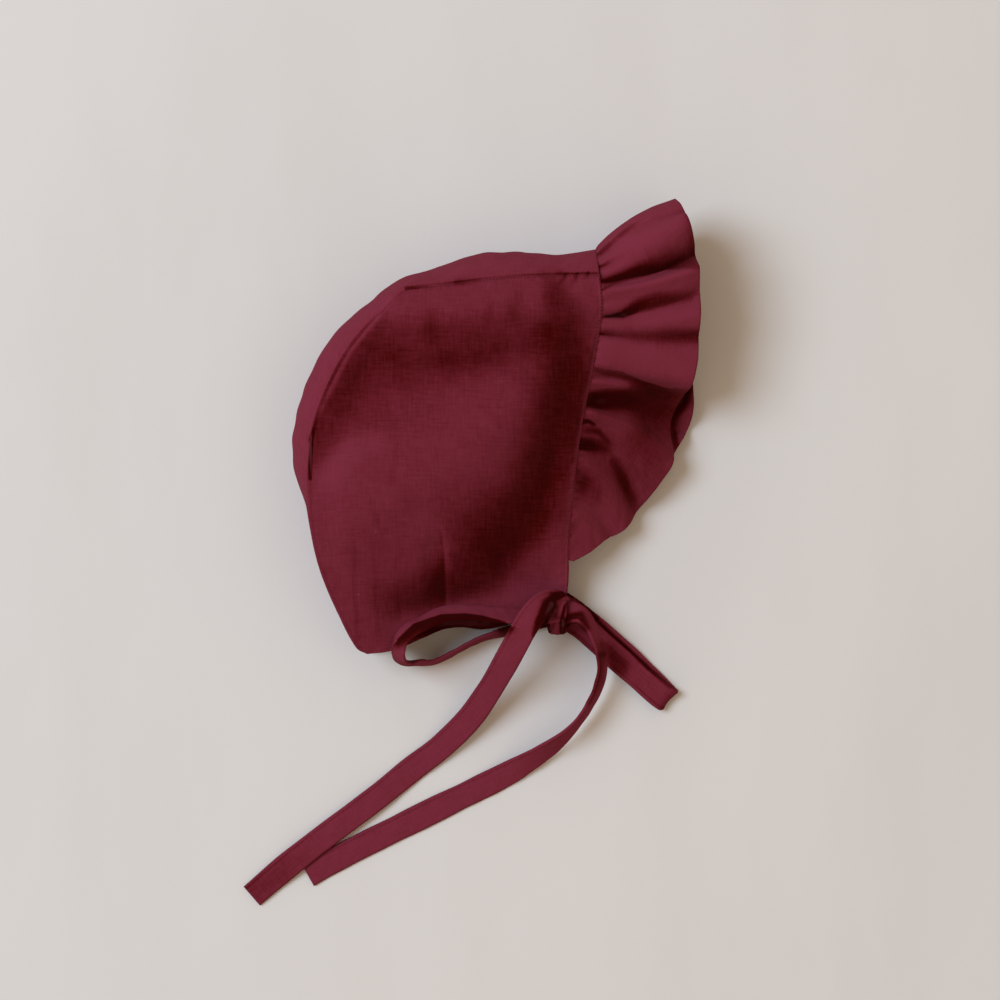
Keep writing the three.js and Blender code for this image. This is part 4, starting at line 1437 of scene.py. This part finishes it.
# Paths of the ties, in metres, with lean in degrees: x, y, z, lean. Lean turns the tie about its
# own length, and above 0 it lifts the edge on the left of the way along the path.
LONG_TAIL: Rows = (
    (0.0445, -0.0698, 0.0160, 0),
    (0.0425, -0.0678, 0.0220, 0),
    (0.0382, -0.0678, 0.0272, 0),
    (0.0338, -0.0712, 0.0300, 0),
    (0.0294, -0.0774, 0.0304, 0),
    (0.0242, -0.0872, 0.0260, 0),
    (0.0182, -0.0985, 0.0190, 0),
    (0.0124, -0.1085, 0.0130, 0),
    (0.0042, -0.1204, 0.0072, 0),
    (-0.0084, -0.1332, 0.0028, 0),
    (-0.0214, -0.1433, 0.0012, 0),
    (-0.0354, -0.1546, 0.0023, 0),
    (-0.0489, -0.1648, 0.0028, 0),
    (-0.0624, -0.1748, 0.0028, 0),
    (-0.0714, -0.1818, 0.0028, 0),
    (-0.0829, -0.1913, 0.0018, 0),
    (-0.0936, -0.2006, 0.0009, 0),
)
CURVED_TAIL: Rows = (
    (0.0440, -0.0735, 0.0140, -20),
    (0.0495, -0.0724, 0.0175, -35),
    (0.0538, -0.0732, 0.0190, -50),
    (0.0572, -0.0768, 0.0190, -62),
    (0.0602, -0.0822, 0.0178, -68),
    (0.0624, -0.0890, 0.0152, -68),
    (0.0635, -0.0968, 0.0128, -68),
    (0.0623, -0.1043, 0.0110, -68),
    (0.0589, -0.1123, 0.0104, -70),
    (0.0531, -0.1213, 0.0098, -72),
    (0.0441, -0.1303, 0.0082, -56),
    (0.0329, -0.1384, 0.0050, -34),
    (0.0210, -0.1456, 0.0020, -12),
    (0.0085, -0.1520, 0.0009, 0),
    (-0.0095, -0.1608, 0.0009, 0),
    (-0.0275, -0.1697, 0.0009, 0),
    (-0.0455, -0.1786, 0.0009, 0),
    (-0.0595, -0.1860, 0.0009, 0),
    (-0.0685, -0.1911, 0.0009, 0),
)
LEFT_LOOP: Rows = (
    (0.0425, -0.0734, 0.0170, 57),
    (0.0365, -0.0738, 0.0204, 57),
    (0.0305, -0.0738, 0.0218, 55),
    (0.0230, -0.0734, 0.0234, 54),
    (0.0140, -0.0726, 0.0246, 56),
    (0.0050, -0.0718, 0.0254, 57),
    (-0.0037, -0.0722, 0.0258, 57),
    (-0.0095, -0.0736, 0.0260, 57),
    (-0.0152, -0.0766, 0.0260, 57),
    (-0.0210, -0.0796, 0.0260, 57),
    (-0.0250, -0.0832, 0.0262, 58),
    (-0.0264, -0.0878, 0.0256, 60),
    (-0.0260, -0.0918, 0.0214, 63),
    (-0.0234, -0.0944, 0.0138, 69),
    (-0.0182, -0.0952, 0.0088, 76),
    (-0.0120, -0.0950, 0.0068, 79),
    (-0.0062, -0.0926, 0.0065, 80),
    (0.0046, -0.0869, 0.0065, 79),
    (0.0122, -0.0837, 0.0067, 76),
    (0.0244, -0.0804, 0.0076, 68),
    (0.0380, -0.0762, 0.0096, 57),
)
RIGHT_LOOP: Rows = (
    (0.0440, -0.0680, 0.0075, 0),
    (0.0536, -0.0746, 0.0036, 4),
    (0.0636, -0.0829, 0.0024, 5),
    (0.0735, -0.0918, 0.0019, 4),
    (0.0834, -0.1013, 0.0014, 2),
    (0.0899, -0.1080, 0.0011, 0),
    (0.0927, -0.1109, 0.0015, 0),
    (0.0938, -0.1121, 0.0030, 0),
    (0.0922, -0.1117, 0.0047, 0),
    (0.0886, -0.1090, 0.0051, 0),
    (0.0798, -0.1013, 0.0049, -3),
    (0.0704, -0.0932, 0.0052, -5),
    (0.0611, -0.0849, 0.0060, -6),
    (0.0533, -0.0784, 0.0076, -4),
    (0.0443, -0.0734, 0.0105, 0),
)


# Painted shade of the bow, in the panel's form: painted shadow in the turns inside the knot and on
# the loops' inner faces, and painted highlights on the wrap and the loops' lit edges
TIE_SHADES: tuple[Rows, ...] = (
    (
        (534, 634, 0.6, 3, 3),
        (539, 620, 0.9, 4, 4),
        (546, 604, 0.95, 5, 6),
        (553, 597, 0.95, 5, 5),
        (563, 593, 0.9, 4, 4),
        (571, 595, 0.7, 3, 3),
    ),
    ((544, 630, 0.8, 4, 4), (547, 618, 0.8, 4, 4), (552, 606, 0.8, 4, 4)),
    ((566, 598, -0.5, 3, 3), (557, 611, -0.6, 4, 4), (553, 621, -0.6, 5, 5), (555, 629, -0.3, 4, 4)),
    ((565, 604, 0.8, 1.5, 1.5), (562, 618, 0.9, 2, 2), (562, 631, 0.9, 3, 3)),
    ((565, 623, 0.9, 4, 5), (572, 617, 0.8, 4, 4), (580, 616, 0.7, 4, 4), (586, 628, 0.5, 4, 4)),
    ((570, 636, 0.35, 7, 8), (588, 656, 0.35, 7, 7)),
    ((574, 596, 0.5, 3, 3), (588, 608, 0.7, 4, 3), (596, 618, 0.6, 3, 2)),
    (
        (596, 620, 0.6, 3, 1),
        (606, 630, 0.7, 3, 1),
        (626, 648, 0.7, 3, 1),
        (650, 671, 0.6, 3, 1),
        (668, 687, 0.3, 3, 1),
    ),
    ((606, 620, -0.35, 3, 3), (640, 651, -0.35, 3, 3), (672, 681, -0.3, 3, 3)),
    ((677, 690, 0.20, 7, 7), (664, 711, 0.20, 7, 7)),
    ((612, 652, 0.12, 12, 12), (640, 678, 0.12, 14, 14), (666, 702, 0.10, 14, 14)),
    ((603, 645, 0.35, 6, 8), (622, 665, 0.35, 8, 10)),
    ((600, 655, 0.4, 4, 4), (598, 680, 0.4, 4, 4), (588, 700, 0.3, 4, 4)),
    (
        (400, 640, 0.8, 1.5, 8),
        (415, 626, 0.95, 1.5, 11),
        (441, 617, 1.0, 1.5, 12),
        (465, 616, 1.0, 1.5, 12),
        (481, 618, 1.0, 1.5, 11),
        (505, 624, 1.0, 1.5, 10),
    ),
    ((400, 632, -0.25, 3, 3), (410, 619, -0.25, 3, 3), (440, 608, -0.3, 3, 3), (500, 612, -0.2, 3, 3)),
    ((410, 656, -0.2, 4, 4), (433, 657, -0.2, 4, 4), (464, 646, -0.2, 4, 4), (495, 632, -0.2, 4, 4)),
    ((255, 890, 0.25, 16, 16), (285, 868, 0.22, 14, 14), (315, 846, 0.05, 12, 12)),
)


class TieEnd(Enum):
    """What a tie does at its far end."""

    FREE = "bare"
    KNOT = "object"


@dataclass
class Tie:
    """One stretch of a flat sewn tie, laid along its path.

    Sizes are in mm. fixed_across, where given, is the direction that the tie spreads in. cup is how
    hollow it is across. stitch_inset, stitch_pull and stitch_spread are the place from its edge, the
    depth and the spread of the line that its stitches draw in, and stitch_shade and
    stitch_shade_spread the amount and the spread of the shade painted into that line. wander is the
    share of its width by which its edges wander.
    """

    name: str
    node: str
    rows: Rows
    end: TieEnd
    fixed_across: tuple[float, float, float] | None = None
    exit_row: int = 1
    width: float = 11.5
    thick: float = 1.4
    steps: tuple[int, int] = (380, 26)
    seed: int = 1
    cup: float = 0.22
    stitch_inset: float = 1.6
    stitch_pull: float = 0.12
    stitch_spread: float = 0.45
    # painted shade in the line that the stitches draw in, and its spread
    stitch_shade: float = 0.25
    stitch_shade_spread: float = 0.4
    wander: float = 0.02
    rim: float = 0.6
    lowest: float = 0.45

    def surface(self) -> Cloth:
        """The tie's cloth.

        Returns:
            At each place on the path the tie spreads to both sides along a level direction that
            is turned by lean about the path. It is a little hollow across, its edges wander by a
            quarter of a millimetre, and a row of stitches draws it in near one edge.
        """
        path = np.array(self.rows, dtype=float)
        path[:, :3] /= MM
        curve = SmoothCurve(path)
        lengthwise, crosswise = graded(self.steps[0], 0.012), graded(self.steps[1], 0.14)
        along, across = np.meshgrid(lengthwise, crosswise, indexing="ij")
        row, tangent = curve(along), curve.direction(along)
        level = np.array(self.fixed_across or (0.0, 0.0, 1.0))
        flat = np.broadcast_to(level, tangent.shape) if self.fixed_across else np.cross(level, tangent)
        flat = unit(flat - tangent * np.sum(flat * tangent, axis=-1, keepdims=True))
        lean = np.radians(row[..., 3:4])
        side = flat * np.cos(lean) + np.cross(tangent, flat) * np.sin(lean)
        face = np.cross(tangent, side)
        u = lengths_along(row[..., :3], 0)
        wander = 1.0 + Ripples(self.wander, 23.0, self.seed).at(u, 0 * u)
        place = (across - 0.5) * self.width * wander
        cup = self.cup * (1 - (2 * across - 1) ** 2)
        from_line = place + self.width * 0.5 - self.stitch_inset
        stitch = -self.stitch_pull * bell(from_line, self.stitch_spread)
        wrinkle = Ripples(0.10, 9.0, self.seed + 20).at(u, place)
        points = row[..., :3] + side * place[..., None] + face * (cup + stitch + wrinkle)[..., None]
        points[..., 2] = np.maximum(points[..., 2], self.thick * self.lowest)
        # painted shade in the stitched line, and the bow's painted shade and highlights
        painted_shading = self.stitch_shade * bell(from_line, self.stitch_shade_spread) + shades(TIE_SHADES, points)
        return Cloth(points, self.thick, np.stack([u, place], axis=-1), painted_shading, self.rim)

    def length(self) -> float:
        """Length in metres from the exit to the far end: the smooth path's short steps, added up."""
        return float(np.sum(np.linalg.norm(np.diff(self.route(), axis=0), axis=1)))

    def route(self) -> np.ndarray:
        """The path's points from the exit, in metres, a hundred and twenty of them."""
        curve = SmoothCurve(self.rows)
        places = np.linspace(curve.place[self.exit_row], 1.0, 120)
        return curve(places)[:, :3]

    def build(self, dresser: Dresser) -> bpy.types.Object:
        piece = dresser.dress(self.surface().piece(self.name), Linen.TIE, self.node)
        if self.end is TieEnd.FREE:
            route = self.route()
            self.length()
            LOG.info("%s: free length %.3f m", self.name, self.length())
        return piece


def ties() -> list[Tie]:
    """The two free tails and the two loops of the bow."""
    return [
        Tie("tie_long", "tie_tail_long", LONG_TAIL, TieEnd.FREE, seed=2, steps=(460, 26)),
        Tie("tie_curved", "tie_tail_curved", CURVED_TAIL, TieEnd.FREE, seed=5, steps=(460, 26)),
        Tie("loop_left", "bow_loop_left", LEFT_LOOP, TieEnd.KNOT, seed=8),
        Tie("loop_right", "bow_loop_right", RIGHT_LOOP, TieEnd.KNOT, (0.68, 0.73, 0.0), seed=11),
    ]


@dataclass
class Knot:
    """The knot: a core of gathered ties lying along x, and a wrap drawn tight round its middle.

    Sizes are in mm. squash is the share of its width that its height has. wrap_half is the wrap's
    half width, which swells by wrap_swell. wrap_shift is where the wrap's middle lies along x, and
    wrap_lean how far it leans from there. cloth_run is how far the cloth's own length goes round
    for each radian.
    """

    centre: tuple[float, float, float] = (43.0, -72.5, 11.2)
    length: float = 11.6
    radius: float = 8.9
    core_steps: tuple[int, int] = (121, 60)
    # painted shade over the whole core, which lies tucked under the wrap and the loops
    core_shade: float = 0.35
    squash: float = 0.98
    wrap_radius: float = 9.2
    wrap_steps: tuple[int, int] = (145, 33)
    wrap_half: float = 3.0
    wrap_swell: float = 0.9
    wrap_shift: float = 1.0
    wrap_lean: float = 1.2
    wrap_thick: float = 0.9
    crumples: int = 9
    crumple: float = 0.10
    # painted shade in the folds between the wrap's crumples
    crumple_shade: float = 0.25
    cloth_run: float = 9.0

    def core(self) -> Cloth:
        """The core's cloth.

        Returns:
            A barrel whose radius is a flattened half circle of its length, with lengthwise pleats
            as sines of the angle, its wall closed to a point at both ends.
        """
        round_core, through = np.linspace(0, TURN, self.core_steps[0]), np.linspace(0, 1, self.core_steps[1])
        turn, along = np.meshgrid(round_core, through, indexing="ij")
        belly = np.maximum(1.0 - np.abs(2 * along - 1) ** 2.6, 0.0) ** 0.6
        pleat = 1.0 + 0.05 * np.sin(5 * turn + 2.0 * along) + 0.03 * np.sin(11 * turn - 3.0 * along)
        radius = self.radius * belly * pleat
        x = self.centre[0] + (along - 0.5) * self.length
        y = self.centre[1] + radius * np.cos(turn)
        z = self.centre[2] + radius * np.sin(turn) * self.squash
        points = np.stack([x, y, z], axis=-1)
        # painted shade over the tucked-in core, and the bow's painted shade and highlights
        painted_shading = self.core_shade + shades(TIE_SHADES, points)
        uv = np.stack([turn * self.cloth_run, along * self.length], axis=-1)
        return Cloth(points, 0.0, uv, painted_shading)

    def build(self, dresser: Dresser) -> None:
        """Makes and dresses the core and the wrap."""
        core = self._closed("knot_core", self.core())
        wrap = self._closed("knot_wrap", self.wrap())
        dresser.dress(core, Linen.TIE, "bow_knot")
        dresser.dress(wrap, Linen.TIE)

    def wrap(self) -> Cloth:
        """The wrap's cloth.

        Returns:
            A lens-shaped section carried round the core on a circle: the section's width swells
            at the bottom of the circle, and its middle leans along x with the angle.
        """
        round_core, round_wrap = (np.linspace(0, TURN, steps) for steps in self.wrap_steps)
        turn, around = np.meshgrid(round_core, round_wrap, indexing="ij")
        wide = self.wrap_half + self.wrap_swell * np.cos(turn - np.pi * 1.25)
        middle = self.centre[0] + self.wrap_shift + self.wrap_lean * np.cos(turn - np.pi * 0.4)
        x = middle + wide * np.cos(around)
        crumple = self.crumple * np.sin(self.crumples * around + 1.5 * np.sin(2 * turn))
        radius = self.wrap_radius + (self.wrap_thick + crumple) * np.sin(around)
        y = self.centre[1] + radius * np.cos(turn)
        z = self.centre[2] + radius * np.sin(turn) * self.squash
        points = np.stack([x, y, z], axis=-1)
        # painted shade between the crumples, and the bow's painted shade and highlights
        painted_shading = self.crumple_shade * clamp01(-np.sin(self.crumples * around)) + shades(TIE_SHADES, points)
        uv = np.stack([turn * self.cloth_run, wide * np.cos(around)], axis=-1)
        return Cloth(points, 0.0, uv, painted_shading)

    @staticmethod
    def _closed(name: str, cloth: Cloth) -> bpy.types.Object:
        """A closed surface from a grid whose lines meet themselves, with its doubles merged."""
        rows, columns, _ = cloth.points.shape
        index = np.arange(rows * columns).reshape(rows, columns)
        faces = Cloth.quads(index)
        painted_shading = np.broadcast_to(cloth.painted_shading, (rows, columns)).reshape(-1)
        piece = mesh_piece(name, cloth.points.reshape(-1, 3), faces, cloth.uv.reshape(-1, 2), painted_shading)
        close_doubles(piece)
        return piece


def close_doubles(piece: bpy.types.Object, reach: float = 1e-6) -> None:
    """Merges points that lie together and turns the faces outwards."""
    work = bmesh.new()
    work.from_mesh(piece.data)
    bmesh.ops.remove_doubles(work, verts=work.verts, dist=reach)
    bmesh.ops.recalc_face_normals(work, faces=work.faces)
    work.to_mesh(piece.data)
    work.free()


# Studio


@dataclass
class Studio:
    """The floor, the camera straight above and the soft light from the left, in metres."""

    lens: float = 96.0
    sensor: float = 36.0
    nearest: float = 0.01
    floor_half: float = 4.0
    light_from: tuple[float, float, float] = (-0.60, 0.226, 0.766)
    light_aim: tuple[float, float, float] = (0.018, 0.0, 0.0)
    light_colour: tuple[float, float, float] = (0.69, 0.85, 1.0)
    light_distance: float = 3.6
    light_size: float = 2.1
    light_power: float = 97.0
    fill_colour: Colour = rgba(1.0, 0.77, 0.55)
    fill_strength: float = 0.53

    def camera(self) -> None:
        """Sets the camera over the bonnet, looking straight down with the crown up."""
        lens = bpy.data.cameras.new("camera")
        lens.lens = self.lens
        lens.sensor_width = self.sensor
        lens.clip_start = self.nearest
        camera = bpy.data.objects.new("camera", lens)
        camera.location = tuple(value * MM for value in CAMERA)
        bpy.context.scene.collection.objects.link(camera)
        bpy.context.scene.camera = camera

    def floor(self) -> None:
        """Lays the floor: a wide flat sheet just under the bonnet."""
        half = self.floor_half
        mesh = bpy.data.meshes.new("floor")
        corners = [(-half, -half, 0.0), (half, -half, 0.0), (half, half, 0.0), (-half, half, 0.0)]
        mesh.from_pydata(corners, [], [(0, 1, 2, 3)])
        floor = bpy.data.objects.new("floor", mesh)
        floor.data.materials.append(FloorFinish().make())
        bpy.context.scene.collection.objects.link(floor)

    def lights(self) -> None:
        """Hangs the key light and sets the warm fill of the room."""
        light = bpy.data.lights.new("key", "AREA")
        light.shape = "DISK"
        light.size = self.light_size
        light.energy = self.light_power
        light.color = self.light_colour
        lamp = bpy.data.objects.new("key", light)
        way = unit(np.array(self.light_from))
        lamp.location = tuple(np.array(self.light_aim) + way * self.light_distance)
        lamp.rotation_euler = Vector(way).to_track_quat("Z", "Y").to_euler()
        bpy.context.scene.collection.objects.link(lamp)
        world = bpy.data.worlds.new("room")
        world.use_nodes = True
        room = world.node_tree.nodes["Background"]
        room.inputs["Color"].default_value = self.fill_colour
        room.inputs["Strength"].default_value = self.fill_strength
        bpy.context.scene.world = world
        bpy.context.scene.view_settings.view_transform = "Standard"

    def build(self) -> None:
        """Sets up camera, floor and lights."""
        self.camera()
        self.floor()
        self.lights()


def main() -> None:
    """Builds the studio, the ties, the panels, the ruffle and the knot."""
    logging.basicConfig(level=logging.INFO, format="%(name)s %(message)s")
    Studio().build()
    dresser = Dresser.stocked()
    for tie in ties():
        tie.build(dresser)
    SidePanel(Side.UPPER, (190, 200)).build(dresser)
    SidePanel(Side.LOWER, (90, 100)).build(dresser)
    CentrePanel().build(dresser)
    BrimRuffle().build(dresser)
    Knot().build(dresser)


if __name__ == "__main__":
    main()
